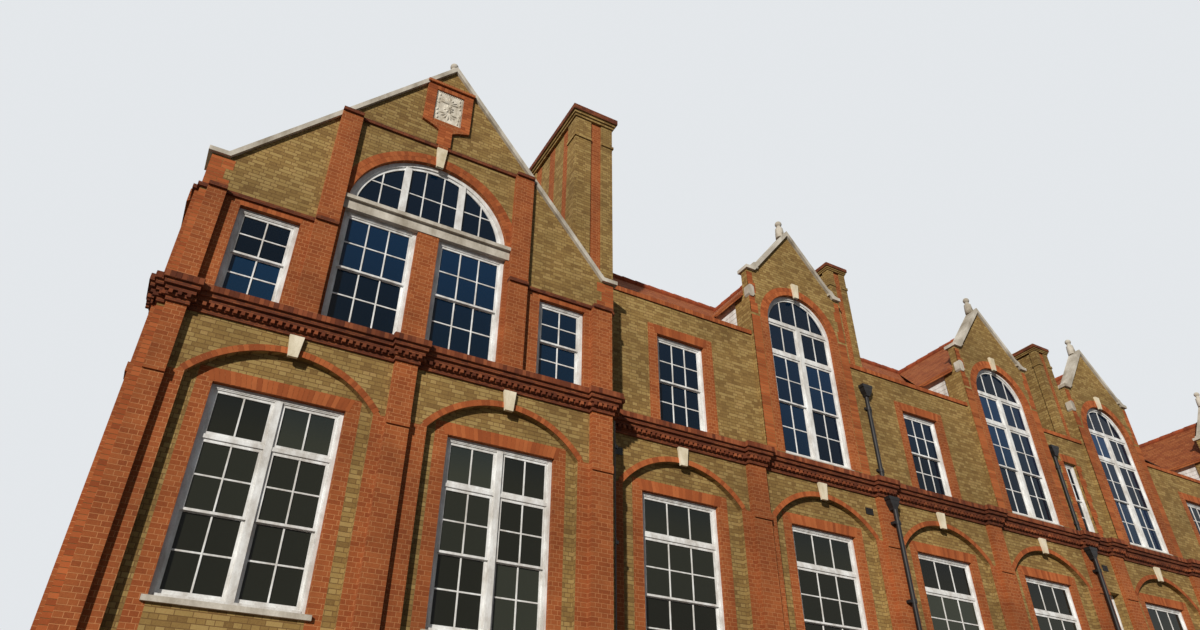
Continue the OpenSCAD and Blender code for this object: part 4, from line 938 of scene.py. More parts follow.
# %% The box that the sashes slide in
def lining(store, turn, u0, u1, z0, z1, head=True):
    """The box that the sashes slide in, with its timber sill"""
    back = LINING_BACK
    inner = LINING + BEAD
    lip = SASH_FRONT - BEAD
    a1, b1 = u0 + LINING, u1 - LINING
    for a, b, c in ((u0, a1, u0 + inner), (u1, b1, u1 - inner)):
        store.timber(turn, a, b, LINING_FRONT, back, z0, z1)
        store.timber(turn, b, c, lip, back, z0, z1)
    if head:
        store.timber(turn, a1, b1, LINING_FRONT, back, z1 - LINING, z1)
        store.timber(turn, u0 + inner, u1 - inner, lip, back, z1 - inner, z1 - LINING)
    store.timber(turn, a1, b1, LINING_FRONT - 0.012, back, z0, z0 + TIMBER_SILL)


print("lining", LINING, "m wide, sashes", SASH_T, "m thick")

# %% A pair of sashes
def sashes(store, turn, u0, u1, z0, z1, columns, rows=2, middle=None):
    """An upper sash in front and a lower sash behind it"""
    middle = (z0 + z1) / 2 if middle is None else middle
    low, high = middle - MEETING_HALF, middle + MEETING_HALF
    light(store, turn, u0, u1, low, z1, SASH_FRONT, columns, rows, foot=high - low)
    light(store, turn, u0, u1, z0, high, SASH_FRONT + SASH_T, columns, rows, foot=0.075)


def plain_sash_window(store, turn, u0, u1, z0, z1, columns, rows=2, middle=None):
    """A box frame with one pair of sashes"""
    lining(store, turn, u0, u1, z0, z1)
    inner = LINING + SASH_GAP
    a, b = u0 + inner, u1 - inner
    sashes(store, turn, a, b, z0 + SASH_FOOT, z1 - inner, columns, rows, middle)


print("sashes meet over", 2 * MEETING_HALF, "m")

# %% A window with a transom
def transom_window(store, turn, u0, u1, z0, z1, columns, mullion=False):
    """A fixed row of panes over a pair of sashes, in one or two bays"""
    lining(store, turn, u0, u1, z0, z1)
    inner = LINING + SASH_GAP
    bays = [(u0 + inner, u1 - inner)]
    low, high = TRANSOM_Z
    if mullion:
        a, b = (u0 + u1) / 2 - MULLION_HALF, (u0 + u1) / 2 + MULLION_HALF
        foot, head = z0 + TIMBER_SILL, z1 - LINING
        store.timber(turn, a, b, LINING_FRONT - 0.004, LINING_BACK, foot, head)
        bays = [(u0 + inner, a), (b, u1 - inner)]
    store.timber(turn, u0 + LINING, u1 - LINING, LINING_FRONT + 0.006, LINING_BACK, low, high)
    for a, b in bays:
        light(store, turn, a, b, high, z1 - inner, SASH_FRONT, columns, 1)
        sashes(store, turn, a, b, z0 + SASH_FOOT, low, columns, 2, FIRST_MEETING)


print("transom", TRANSOM_Z)

# %% The wall that a window stands in
def front(y):
    return lambda u0, u1, d0, d1, z0, z1: span(u0, u1, y + d0, y + d1, z0, z1)


def rear(y):
    return lambda u0, u1, d0, d1, z0, z1: span(u0, u1, y - d0, y - d1, z0, z1)


def left_side(x):
    return lambda u0, u1, d0, d1, z0, z1: span(x + d0, x + d1, u0, u1, z0, z1)


print("a timber at the front:", front(FACE)(0, LINING, LINING_FRONT, LINING_BACK, 0, 1)[1])

# %% Window places
PAV_X = [AXIS_X - 1.840, AXIS_X + 1.840]
PAV_WIN = 1.980
WING_WIN = 1.770
NARROW_WIN = 0.560
NARROW_TOP = 0.560
SMALL_WIN = 1.220
SMALL_SHIFT = 0.130
PAV_SMALL = 0.990
PAV_SMALL_X = [APEX_X - 2.775, APEX_X + 2.775]
GREAT_PIER = 0.410
SIDE_WIN = 1.400
SIDE_Y = [PILASTER_Y + y for y in (2.400, 5.000, 7.400)]
print("widths", PAV_WIN, WING_WIN, SMALL_WIN, PAV_SMALL, SIDE_WIN)
SIDE_HEAD = FIRST_HEAD - 0.600
BACK_TOP_HEAD = PAV_SMALL_HEAD - 0.300

# %% Fill the windows of the pavilion
ground = Joinery()
first = Joinery()
top = Joinery()
SIDE_STOREYS = (
    (ground, GROUND_SILL, GROUND_HEAD), (first, FIRST_SILL, SIDE_HEAD),
    (top, UPPER_SILL, PAV_SMALL_HEAD),
)


def across(x, width):
    return x - width / 2, x + width / 2


for x in PAV_X:
    ends = across(x, PAV_WIN)
    plain_sash_window(ground, front(FACE), *ends, GROUND_SILL, GROUND_HEAD, 4)
    transom_window(first, front(PANEL_Y), *ends, FIRST_SILL, FIRST_HEAD, 2, mullion=True)
    for storey, low, high in SIDE_STOREYS:
        plain_sash_window(storey, rear(BACK), *ends, low, high, 4)
for x in PAV_SMALL_X:
    ends = across(x, PAV_SMALL)
    plain_sash_window(top, front(FACE), *ends, UPPER_SILL, PAV_SMALL_HEAD, 2)
for side in (-1, 1):
    ends = sorted((AXIS_X + side * GREAT_PIER / 2, AXIS_X + side * GREAT_R))
    plain_sash_window(top, front(FACE), *ends, UPPER_SILL, LINTEL, 3)
for y in SIDE_Y:
    for storey, low, high in SIDE_STOREYS:
        plain_sash_window(storey, left_side(LEFT), *across(y, SIDE_WIN), low, high, 3)
print("timbers so far", len(ground.timbers), len(first.timbers), len(top.timbers))

# %% Fill the windows of the wing
for i in WIDE:
    ends = across(bay_mid[i], WING_WIN)
    plain_sash_window(ground, front(WING_FACE), *ends, GROUND_SILL, GROUND_HEAD, 3)
    transom_window(first, front(WING_PANEL), *ends, FIRST_SILL, FIRST_HEAD, 3)
    plain_sash_window(ground, rear(WING_BACK), *ends, GROUND_SILL, GROUND_HEAD, 3)
    plain_sash_window(first, rear(WING_BACK), *ends, FIRST_SILL, SIDE_HEAD, 3)
    plain_sash_window(top, rear(WING_BACK), *ends, UPPER_SILL, BACK_TOP_HEAD, 3)
ends = across(bay_mid[NARROW], NARROW_WIN)
transom_window(first, front(WING_PANEL), *ends, FIRST_SILL, FIRST_HEAD, 2)
for i in SMALLS:
    ends = across(bay_mid[i] + SMALL_SHIFT, SMALL_WIN)
    plain_sash_window(top, front(WING_FACE), *ends, UPPER_SILL, WING_SMALL_HEAD, 3)
ends = across(bay_mid[NARROW], NARROW_TOP)
plain_sash_window(top, front(WING_FACE), *ends, UPPER_SILL, WING_SMALL_HEAD, 2)
print("timbers", len(ground.timbers), len(first.timbers), len(top.timbers))

# %% [markdown]
# ## The gable windows and the great half-round light
# Below the springing these are straight timbers too. Their heads are curved: the lining
# follows the arch as a ring, and upright bars rise until they meet it. A ring is an outline
# of two arcs pushed back into the wall, which stays a clean solid with few faces.

# %% Rings of an arch
ARCH_STEPS = 28


def ring(bm, x, z, r0, r1, a0, a1, y0, y1, steps=ARCH_STEPS):
    """A closed ring segment between two radii; angles are from +X up to +Z"""
    rows = []
    for k in range(steps + 1):
        angle = a0 + (a1 - a0) * k / steps
        c, s = math.cos(angle), math.sin(angle)
        rows.append([
            bm.verts.new((x + r * c, y, z + r * s))
            for r, y in ((r0, y0), (r1, y0), (r1, y1), (r0, y1))
        ])
    for low, high in zip(rows, rows[1:]):
        for k in range(4):
            j = (k + 1) % 4
            bm.faces.new((low[k], high[k], high[j], low[j]))
    bm.faces.new(rows[0])
    bm.faces.new(list(reversed(rows[-1])))


print("a ring has", ARCH_STEPS * 4 + 2, "faces")

# %% Glass of an arch
def disc(bm, x, z, r, z_low, y0, y1, steps=ARCH_STEPS):
    """Glass that fills an arch from a level line up"""
    start = math.asin((z_low - z) / r)
    front_row = []
    back_row = []
    for k in range(steps + 1):
        angle = start + (math.pi - 2 * start) * k / steps
        place = (x + r * math.cos(angle), z + r * math.sin(angle))
        front_row.append(bm.verts.new((place[0], y0, place[1])))
        back_row.append(bm.verts.new((place[0], y1, place[1])))
    count = len(front_row)
    bm.faces.new(front_row)
    bm.faces.new(list(reversed(back_row)))
    for k in range(count):
        j = (k + 1) % count
        bm.faces.new((front_row[k], back_row[k], back_row[j], front_row[j]))


def chord(x_off, r):
    return math.sqrt(max(0.0, r * r - x_off * x_off))


def thin_bar(turn, u, z0, z1):
    """An upright glazing bar of a curved light"""
    fore = SASH_FRONT + BAR_IN
    top.timber(turn, u - BAR / 2, u + BAR / 2, fore, fore + BAR_T, z0, z1)


curved_timber = bmesh.new()
curved_glass = bmesh.new()
GLASS_FRONT = SASH_FRONT + SASH_T / 2
print("a chord half way up a gable's arch is", round(2 * chord(GABLE_R / 2, GABLE_R), 3), "m")

# %% Windows of the gables
HEAD_LIFT = 0.120
HEAD_RAIL = 0.085
FOOT_RAIL = (11.680, 11.780)
GABLE_POST = 0.066
GABLE_BARS = (-0.46, 0.0, 0.46)
GABLE_MEETING = 10.460
GABLE_INNER = GABLE_R - LINING - 0.012
head = GABLE_SPRING + HEAD_LIFT
start = math.asin(HEAD_LIFT / GABLE_R)
y = WING_PIER_Y
turn = front(y)
for i in GABLES:
    x = bay_mid[i]
    ring(
        curved_timber, x, GABLE_SPRING, GABLE_INNER, GABLE_R, 0, math.pi,
        y + LINING_FRONT, y + LINING_BACK,
    )
    ring(
        curved_timber, x, GABLE_SPRING, GABLE_INNER - STILE, GABLE_INNER, start, math.pi - start,
        y + SASH_FRONT, y + SASH_FRONT + SASH_T,
    )
    disc(
        curved_glass, x, GABLE_SPRING, GABLE_INNER - STILE, head,
        y + GLASS_FRONT, y + GLASS_FRONT + PANE_T,
    )
    ends = x - GABLE_R + LINING, x + GABLE_R - LINING
    rail = head - HEAD_RAIL
    lining(top, turn, x - GABLE_R, x + GABLE_R, UPPER_SILL, GABLE_SPRING, head=False)
    top.timber(turn, *ends, LINING_FRONT + 0.004, LINING_BACK, rail, head + 0.02)
    top.timber(turn, x - GABLE_POST, x + GABLE_POST, LINING_FRONT, LINING_BACK, UPPER_SILL, rail)
    top.timber(turn, *ends, LINING_FRONT + 0.006, LINING_BACK, *FOOT_RAIL)
    for u in GABLE_BARS:
        thin_bar(turn, x + u, head, GABLE_SPRING + chord(u, GABLE_INNER - STILE / 2))
    for a, b in ((x - GABLE_INNER, x - GABLE_POST), (x + GABLE_POST, x + GABLE_INNER)):
        light(top, turn, a, b, FOOT_RAIL[1], rail, SASH_FRONT, 2, 1)
        sashes(top, turn, a, b, UPPER_SILL + SASH_FOOT, FOOT_RAIL[0], 2, 2, GABLE_MEETING)
print("gable windows", len(GABLES))

# %% The great half-round light over the stone lintel
RIM = 0.085
SASH_RIM = 0.150
RIM_STEPS = 48
GREAT_FOOT = LUNETTE + 0.070
GREAT_POST_X, GREAT_POST = 0.560, 0.068
GREAT_BARS = (1.000, 0.185)
GREAT_CROSS_Z = 12.400
BAR_REACH = GREAT_R - 0.110
turn = front(FACE)
for outer, inner, fore, aft in (
    (GREAT_R, GREAT_R - RIM, LINING_FRONT, LINING_BACK),
    (GREAT_R - RIM, GREAT_R - SASH_RIM, SASH_FRONT, SASH_FRONT + SASH_T),
):
    start = math.asin((LUNETTE - GREAT_CENTRE) / outer)
    ring(
        curved_timber, AXIS_X, GREAT_CENTRE, inner, outer, start, math.pi - start,
        FACE + fore, FACE + aft, RIM_STEPS,
    )
disc(
    curved_glass, AXIS_X, GREAT_CENTRE, GREAT_R - SASH_RIM, LUNETTE + 0.05,
    FACE + GLASS_FRONT, FACE + GLASS_FRONT + PANE_T, RIM_STEPS,
)
ends = AXIS_X - GREAT_R + 0.01, AXIS_X + GREAT_R - 0.01
top.timber(turn, *ends, LINING_FRONT - 0.01, LINING_BACK, LUNETTE, GREAT_FOOT)
for side in (-1, 1):
    u = AXIS_X + side * GREAT_POST_X
    ends = u - GREAT_POST, u + GREAT_POST
    high = GREAT_CENTRE + chord(GREAT_POST_X, GREAT_R - 0.1)
    top.timber(turn, *ends, LINING_FRONT, LINING_BACK, GREAT_FOOT, high)
    for off in GREAT_BARS:
        thin_bar(turn, AXIS_X + side * off, GREAT_FOOT, GREAT_CENTRE + chord(off, BAR_REACH))
reach = chord(GREAT_CROSS_Z - GREAT_CENTRE, BAR_REACH)
top.timber(
    turn, AXIS_X - reach, AXIS_X + reach, SASH_FRONT + 0.006, SASH_FRONT + 0.032,
    GREAT_CROSS_Z - BAR / 2, GREAT_CROSS_Z + BAR / 2,
)
print("timbers of the top storey", len(top.timbers))

# %% Make the window pieces
def add_mesh(piece, extra):
    """Join a built shape to a finished piece"""
    bmesh.ops.recalc_face_normals(extra, faces=extra.faces)
    both = bmesh.new()
    both.from_mesh(piece.data)
    part = bpy.data.meshes.new("part")
    extra.to_mesh(part)
    extra.free()
    both.from_mesh(part)
    both.to_mesh(piece.data)
    both.free()
    bpy.data.meshes.remove(part)


for storey, joinery in (("ground", ground), ("first", first), ("top", top)):
    timber_piece = lay_blocks(
        storey + "_sashes", joinery.timbers, painted_timber,
        (storey + "_window_frames",), bevel=0.003,
    )
    glass_piece = lay_blocks(
        storey + "_panes", joinery.panes, window_glass,
        (storey + "_window_glass",),
    )
add_mesh(timber_piece, curved_timber)
add_mesh(glass_piece, curved_glass)
print("with curved parts", len(timber_piece.data.polygons), len(glass_piece.data.polygons), "faces")

# %% [markdown]
# ## Arches of rubbed brick
# Each arch is a row of bricks set on edge, so the joints all point at its centre. The
# solid ring behind them gives the mortar its place, and every brick stands three
# millimetres proud of it. The bricks take their tone from an attribute of their own.

# %% Bricks that read their own tone
def toned_brick(name, kiln, grime=0.25):
    finish, tree, shader = new_finish(name, 0.9)
    place = add(tree, "ShaderNodeTexCoord").outputs["Object"]
    own = add(tree, "ShaderNodeAttribute", attribute_name="tone").outputs["Fac"]
    grain = noise(tree, place, 42, 5, 0.7)
    colour = ramp(tree, blended(tree, own, grain, 0.7), kiln)
    dirt = grimed(tree, noise(tree, place, 0.6, 5, 0.6), grime)
    colour = mix(tree, "MULTIPLY", 1.0, colour, dirt)
    tree.links.new(colour, shader.inputs["Base Color"])
    bump(tree, shader, grain, 0.003, 0.8)
    return finish


arch_brick = toned_brick("arch_brick", [
    (0.15, linear(140, 74, 42)), (0.45, linear(160, 86, 48)), (0.80, linear(176, 100, 58)),
])
dentil_brick = toned_brick("dentil_brick", [
    (0.15, linear(94, 50, 34)), (0.45, linear(124, 66, 42)), (0.80, linear(150, 86, 56)),
], 0.4)
print("finishes so far", len(bpy.data.materials))

# %% Bricks along an arc
PROUD = 0.003
RING_OUT = 0.012
PAV_RECESS, WING_RECESS = 2.790, 2.775


def segment_arch(width, rise):
    """Radius and half angle of a segmental arch"""
    radius = (rise * rise + width * width / 4) / (2 * rise)
    return radius, math.asin(width / 2 / radius)


def voussoirs(x, z, r0, depth_up, a0, a1, y, thick, pitch=COURSE):
    """Bricks on edge along an arc; angles from +X up to +Z"""
    middle = r0 + depth_up / 2
    count = max(3, round(abs(a1 - a0) * r0 / pitch))
    blocks = []
    for k in range(count):
        angle = a0 + (a1 - a0) * (k + 0.5) / count
        place = (x + middle * math.cos(angle), y + thick / 2, z + middle * math.sin(angle))
        width = abs(a1 - a0) * r0 / count - 0.005
        blocks.append((place, (width, thick, depth_up - 0.004), math.pi / 2 - angle))
    return blocks


half_ring = voussoirs(0, 0, GABLE_R, HALF_BRICK, 0, math.pi, 0, PROUD)
print("a gable's half ring takes", len(half_ring), "bricks")

# %% Lay the arch rings
arch_blocks = []
recesses = [(x, PAV_RECESS, FACE) for x in PAV_X]
recesses += [(bay_mid[i], WING_RECESS, WING_FACE) for i in WIDE]
for x, width, y in recesses:
    radius, half = segment_arch(width, ARCH_RISE)
    centre = SPRING + ARCH_RISE - radius
    arch_blocks += voussoirs(
        x, centre, radius, HALF_BRICK, math.pi / 2 - half, math.pi / 2 + half,
        y - RING_OUT - PROUD, RING_OUT + 0.02,
    )
lay_blocks("recess_arch_bricks", arch_blocks, arch_brick)

ring_blocks = []
for layer in (0, 1):
    inner = GREAT_R + layer * HALF_BRICK
    start = math.asin((LUNETTE - GREAT_CENTRE) / inner) + 0.01
    ring_blocks += voussoirs(
        AXIS_X, GREAT_CENTRE, inner, HALF_BRICK, start, math.pi - start, FACE - PROUD, 0.02,
    )
    for i in GABLES:
        inner = GABLE_R + layer * HALF_BRICK
        ring_blocks += voussoirs(
            bay_mid[i], GABLE_SPRING, inner, HALF_BRICK, 0, math.pi, WING_PIER_Y - PROUD, 0.02,
        )
lay_blocks("window_arch_bricks", ring_blocks, arch_brick)

# %% Flat arches over the windows
ARCH_LAP = 0.100
FLAT_PITCH = 0.074


def flat_arch(x, width, z, y, thick=0.02, height=0.222, fan=3.2):
    """Upright bricks over a head, which lean out from the middle of the fan"""
    count = round(width / FLAT_PITCH)
    blocks = []
    for k in range(count):
        off = -width / 2 + width * (k + 0.5) / count
        angle = math.atan2(off, fan)
        shift = off * (1 + height / 2 / fan)
        place = (x + shift, y + thick / 2 - PROUD, z + height / 2 + 0.001)
        blocks.append((place, (width / count - 0.004, thick, height), angle))
    return blocks


flat_blocks = []
for x in PAV_X:
    flat_blocks += flat_arch(x, PAV_WIN + ARCH_LAP, FIRST_HEAD, PANEL_Y)
    flat_blocks += flat_arch(x, PAV_WIN + ARCH_LAP, GROUND_HEAD, FACE)
for x in PAV_SMALL_X:
    flat_blocks += flat_arch(x, PAV_SMALL + 0.02, PAV_SMALL_HEAD, FACE, height=0.113)
for i in WIDE:
    flat_blocks += flat_arch(bay_mid[i], WING_WIN + ARCH_LAP, FIRST_HEAD, WING_PANEL)
    flat_blocks += flat_arch(bay_mid[i], WING_WIN + ARCH_LAP, GROUND_HEAD, WING_FACE)
small_heads = [(bay_mid[i] + SMALL_SHIFT, SMALL_WIN) for i in SMALLS]
small_heads.append((bay_mid[NARROW], NARROW_TOP))
for x, width in small_heads:
    flat_blocks += flat_arch(x, width + ARCH_LAP, WING_SMALL_HEAD, WING_FACE - RING_OUT)
lay_blocks("flat_arch_bricks", flat_blocks, arch_brick)

# %% [markdown]
# ## The main cornice
# The cornice is built of moulded bricks. A row of small dentils throws the toothed shadow
# under the upper courses, and the top course is of bricks on edge. Both are rows of equal
# blocks that break forward round each pilaster, so a list of straight runs is enough.

# %% Runs of the cornice
def run_x(x0, x1, y, pitch, width, depth, z0, z1):
    """Blocks along the front, standing out from y towards the viewer"""
    length = x1 - x0
    count = max(1, round(length / pitch))
    return [
        span(x - width / 2, x + width / 2, y - depth, y + 0.02, z0, z1)
        for x in (x0 + length * (k + 0.5) / count for k in range(count))
    ]


def run_y(y0, y1, x, side, pitch, width, depth, z0, z1):
    """Blocks along a side face, standing out towards side"""
    length = y1 - y0
    count = max(1, round(length / pitch))
    return [
        span(x - side * 0.02, x + side * depth, y - width / 2, y + width / 2, z0, z1)
        for y in (y0 + length * (k + 0.5) / count for k in range(count))
    ]


print("dentils on one metre", len(run_x(0, 1, 0, HALF_BRICK, HALF_BRICK / 2, 0, 0, 1)))

# %% Where the cornice breaks forward
END_SHARE = 0.65
SIDE_OUT = 0.065
DENTIL_OUT = 0.070
EDGE_OUT = 0.200
PIER_W = 0.440
PAV_PIERS = [
    (LEFT + 0.112, LEFT + 0.402), (AXIS_X - 0.250, AXIS_X + 0.130),
    (PAV_RIGHT - 0.520, PAV_RIGHT - 0.095),
]
WING_PIERS = bay_left[1:] + [WING_END]
WING_RIGHT = WING_END + PIER_W / 2
SIDE_Y0 = PILASTER_Y + 0.224
SIDE_Y1 = SIDE_Y0 + 0.290
print("piers", len(PAV_PIERS), len(WING_PIERS))

# %% Rows of the cornice
def cornice_rows(out, extra, pitch, width, z0, z1):
    """Blocks in front of one course of the cornice, along the pavilion and the wing"""
    end = END_SHARE * out
    brick = (pitch, width, extra, z0, z1)
    pav_end, wing_start = LEFT - end, PAV_RIGHT + end
    blocks = []
    edges = [pav_end] + [e for x0, x1 in PAV_PIERS for e in (x0 - end, x1 + end)] + [wing_start]
    for a, b in zip(edges[0::2], edges[1::2]):
        blocks += run_x(a, b, FACE - out, *brick)
    for x0, x1 in PAV_PIERS:
        blocks += run_x(x0 - end, x1 + end, PILASTER_Y - out, *brick)
        for x, side in ((x0 - end, -1), (x1 + end, 1)):
            blocks += run_y(PILASTER_Y - out, FACE - out, x, side, *brick)
    blocks += run_y(FACE - out, SIDE_Y0 - out, pav_end, -1, *brick)
    blocks += run_y(SIDE_Y0 - out, SIDE_Y1 + end, pav_end - SIDE_OUT, -1, *brick)
    blocks += run_y(FACE - out, WING_FACE - out, wing_start, 1, *brick)
    half = PIER_W / 2 + end
    edges = [wing_start] + [e for x in WING_PIERS for e in (x - half, x + half)]
    for a, b in zip(edges[0:-1:2], edges[1::2]):
        blocks += run_x(a, b, WING_FACE - out, *brick)
    for x in WING_PIERS:
        last = x == WING_PIERS[-1]
        right = WING_RIGHT if last else x + half
        blocks += run_x(x - half, right, WING_PIER_Y - out, *brick)
        blocks += run_y(WING_PIER_Y - out, WING_FACE - out, x - half, -1, *brick)
        if not last:
            blocks += run_y(WING_PIER_Y - out, WING_FACE - out, right, 1, *brick)
    return blocks


dentils = cornice_rows(DENTIL_OUT, 0.048, HALF_BRICK, HALF_BRICK / 2, 8.686, 8.748)
lay_blocks("cornice_dentils", dentils, dentil_brick)
on_edge = cornice_rows(EDGE_OUT, 0.004, COURSE, 0.068, 8.904, 9.012)
lay_blocks("cornice_edge_course", on_edge, dentil_brick)

# %% [markdown]
# ## Quoins and teeth
# The upper corners of the pavilion and the edges of the wing gables are red, toothed into
# the yellow wall: a few courses of long bricks, then a few of short ones. They lie flush
# in the real wall, so here they stand only two millimetres out, just enough to be seen.

# %% Toothed red corners
def course_brick(x0, x1, y0, y1, z, gap=0.004):
    """One brick of the course that starts at z"""
    return span(x0, x1, y0, y1, z + 0.003, z + COURSE - gap)


def quoins(x0, toward, y, z0, z1, long=0.39, short=0.28, lift=3):
    """Long and short bricks from an edge inwards, changing every few courses"""
    blocks = []
    count = int((z1 - z0) / COURSE)
    for k in range(count):
        reach = long if (k // lift) % 2 == 0 else short
        bricks = 2 if reach > 0.3 else 1
        piece = reach / bricks
        for n in range(bricks):
            a = x0 + toward * n * piece
            b = a + toward * (piece - 0.006)
            blocks.append(course_brick(a, b, y - 0.002, y + 0.02, z0 + k * COURSE))
    return blocks


STRING = 10.925
STRING_TOP = STRING + COURSE
QUOIN_TOP = 11.700
GABLE_QUOIN_TOP = 13.870
BAND_TOP = GABLE_SPRING + 0.070
quoin_blocks = quoins(LEFT, 1, FACE, STRING_TOP, QUOIN_TOP)
quoin_blocks += quoins(PAV_RIGHT, -1, FACE, STRING_TOP, QUOIN_TOP)
for i in GABLES:
    for side in (-1, 1):
        edge = bay_mid[i] + side * GABLE_HALF
        quoin_blocks += quoins(edge, -side, WING_PIER_Y, CORNICE_TOP, BAND_TOP, 0.262, 0.262, 4)
        quoin_blocks += quoins(edge, -side, WING_PIER_Y, BAND_TOP, GABLE_QUOIN_TOP, 0.22, 0.16, 4)
lay_blocks("corner_bricks", quoin_blocks, arch_brick)

# %% Red jambs of the narrow top window
JAMB_LONG, JAMB_SHORT = 0.215, 0.150
jamb_blocks = []
for k in range(int((WING_SMALL_HEAD - CORNICE_TOP) / COURSE)):
    z = CORNICE_TOP + k * COURSE
    for side in (-1, 1):
        a = bay_mid[NARROW] + side * NARROW_TOP / 2
        b = a + side * (JAMB_LONG if k // 3 % 2 else JAMB_SHORT)
        jamb_blocks.append(course_brick(a, b, WING_FACE - RING_OUT, WING_FACE + 0.02, z))
lay_blocks("narrow_jambs", jamb_blocks, arch_brick)

# %% The pavilion's red return
PLINTH_TOP, BAND_FOOT = 0.600, 3.600
CORNER = HALF_BRICK - 0.004
return_blocks = []
for low, high in ((PLINTH_TOP, BAND_FOOT), (RECESS_FOOT, CORNICE_Z), (CORNICE_TOP, STRING)):
    for k in range(int((high - low) / COURSE)):
        z = low + k * COURSE
        for planes in (
            (LEFT - 0.002, LEFT + CORNER, FACE - 0.003, FACE + 0.02),
            (LEFT - 0.003, LEFT + 0.02, FACE + 0.002, FACE + CORNER),
        ):
            return_blocks.append(course_brick(*planes, z, 0.005))
lay_blocks("return_bricks", return_blocks, arch_brick)

# %% [markdown]
# ## Ridge tiles
# Clay ridge tiles are half rounds laid end to end, each a little wider at one end so that
# it laps the next. The tree resamples a straight line to the tile's length and sets a
# tapering tile at every step.

# %% The ridge tree
TILE_SIDES = 14
TILE_TAPER = 0.88
TILE_LAP = 1.06


def ridge_tree():
    tree = bpy.data.node_groups.new("tiles_on_a_line", "GeometryNodeTree")
    face = tree.interface
    for name, kind in (
        ("Start", "NodeSocketVector"), ("End", "NodeSocketVector"), ("Turn", "NodeSocketVector"),
        ("Tile Length", "NodeSocketFloat"), ("Radius", "NodeSocketFloat"),
        ("Finish", "NodeSocketMaterial"),
    ):
        face.new_socket(name, in_out="INPUT", socket_type=kind)
    face.new_socket("Geometry", in_out="OUTPUT", socket_type="NodeSocketGeometry")
    start = tree.nodes.new("NodeGroupInput")
    end = tree.nodes.new("NodeGroupOutput")
    line = tree.nodes.new("GeometryNodeCurvePrimitiveLine")
    tree.links.new(start.outputs["Start"], line.inputs["Start"])
    tree.links.new(start.outputs["End"], line.inputs["End"])
    points = tree.nodes.new("GeometryNodeCurveToPoints")
    points.mode = "LENGTH"
    tree.links.new(line.outputs["Curve"], points.inputs["Curve"])
    tree.links.new(start.outputs["Tile Length"], points.inputs["Length"])
    tile = tree.nodes.new("GeometryNodeMeshCone")
    tile.inputs["Vertices"].default_value = TILE_SIDES
    tree.links.new(start.outputs["Radius"], tile.inputs["Radius Bottom"])
    narrow = maths(tree, "MULTIPLY", start.outputs["Radius"], TILE_TAPER)
    tree.links.new(narrow, tile.inputs["Radius Top"])
    longer = maths(tree, "MULTIPLY", start.outputs["Tile Length"], TILE_LAP)
    tree.links.new(longer, tile.inputs["Depth"])
    place = tree.nodes.new("GeometryNodeInstanceOnPoints")
    tree.links.new(points.outputs["Points"], place.inputs["Points"])
    tree.links.new(tile.outputs["Mesh"], place.inputs["Instance"])
    tree.links.new(start.outputs["Turn"], place.inputs["Rotation"])
    close_tree(tree, start, end, place.outputs["Instances"])
    return tree


RIDGES = ridge_tree()
print("ridge tree of", len(RIDGES.nodes), "nodes")

# %% Tiles along a ridge
ridge_clay = weathered(
    "ridge_clay", linear(168, 84, 50), linear(110, 56, 38), 0.4, 3.0, 0.85, 0.002,
)


def ridge(name, start, end, radius=0.12, tile=0.42):
    """Tiles from start to end, which lie along x or along y"""
    along_x = abs(end[0] - start[0]) > abs(end[1] - start[1])
    settings = {
        "Start": start, "End": end, "Turn": (0, math.pi / 2, 0) if along_x else (math.pi / 2, 0, 0),
        "Tile Length": tile, "Radius": radius, "Finish": ridge_clay,
    }
    carrier = grown(name, bpy.data.meshes.new(name + "_line"), RIDGES, settings)
    return finished(name, plain_copy(carrier, name), ridge_clay)


print("each tile laps the next by", round((TILE_LAP - 1) * 100), "percent")

# %% The pavilion's ridge and the valley beside it
RIDGE_IN = 0.470
RIDGE_SINK = 0.030
PAV_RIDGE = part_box("pavilion_roof")[1][2]
tile_z = PAV_RIDGE - RIDGE_SINK
ridge("pavilion_ridge_tiles", (APEX_X, FACE + RIDGE_IN, tile_z), (APEX_X, BACK - RIDGE_IN, tile_z))
PAV_PITCH = (PAV_RIDGE - STACK_FOOT) / (PAV_W / 2 - ROOF_DROP)
valley_x = APEX_X + (PAV_RIDGE - WING_RIDGE) / PAV_PITCH
SHELL_TOP, SHELL_UNDER = 0.002, 0.280


def valley_tiles():
    """The wing's roof carried on to the pavilion's slope, as one closed shell"""
    end_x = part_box("wing_roof")[0][0] + 0.002
    low = PAV_RIDGE - (end_x - APEX_X) * PAV_PITCH
    reach = (WING_RIDGE - low) / MAIN_PITCH
    shell = [
        (end_x, 0, WING_RIDGE), (valley_x, 0, WING_RIDGE),
        (end_x, -reach, low), (end_x, reach, low),
    ]
    bm = bmesh.new()
    upper, under = (
        [bm.verts.new((x, RIDGE_Y + y, z - sink)) for x, y, z in shell]
        for sink in (SHELL_TOP, SHELL_UNDER)
    )
    for a, b, c in ((0, 1, 2), (0, 3, 1)):
        bm.faces.new((upper[a], upper[b], upper[c]))
        bm.faces.new((under[c], under[b], under[a]))
    for a, b in ((1, 2), (2, 0), (0, 3), (3, 1)):
        bm.faces.new((upper[a], upper[b], under[b], under[a]))
    plain_piece("valley_tiles", bm, roof_tile)


valley_tiles()

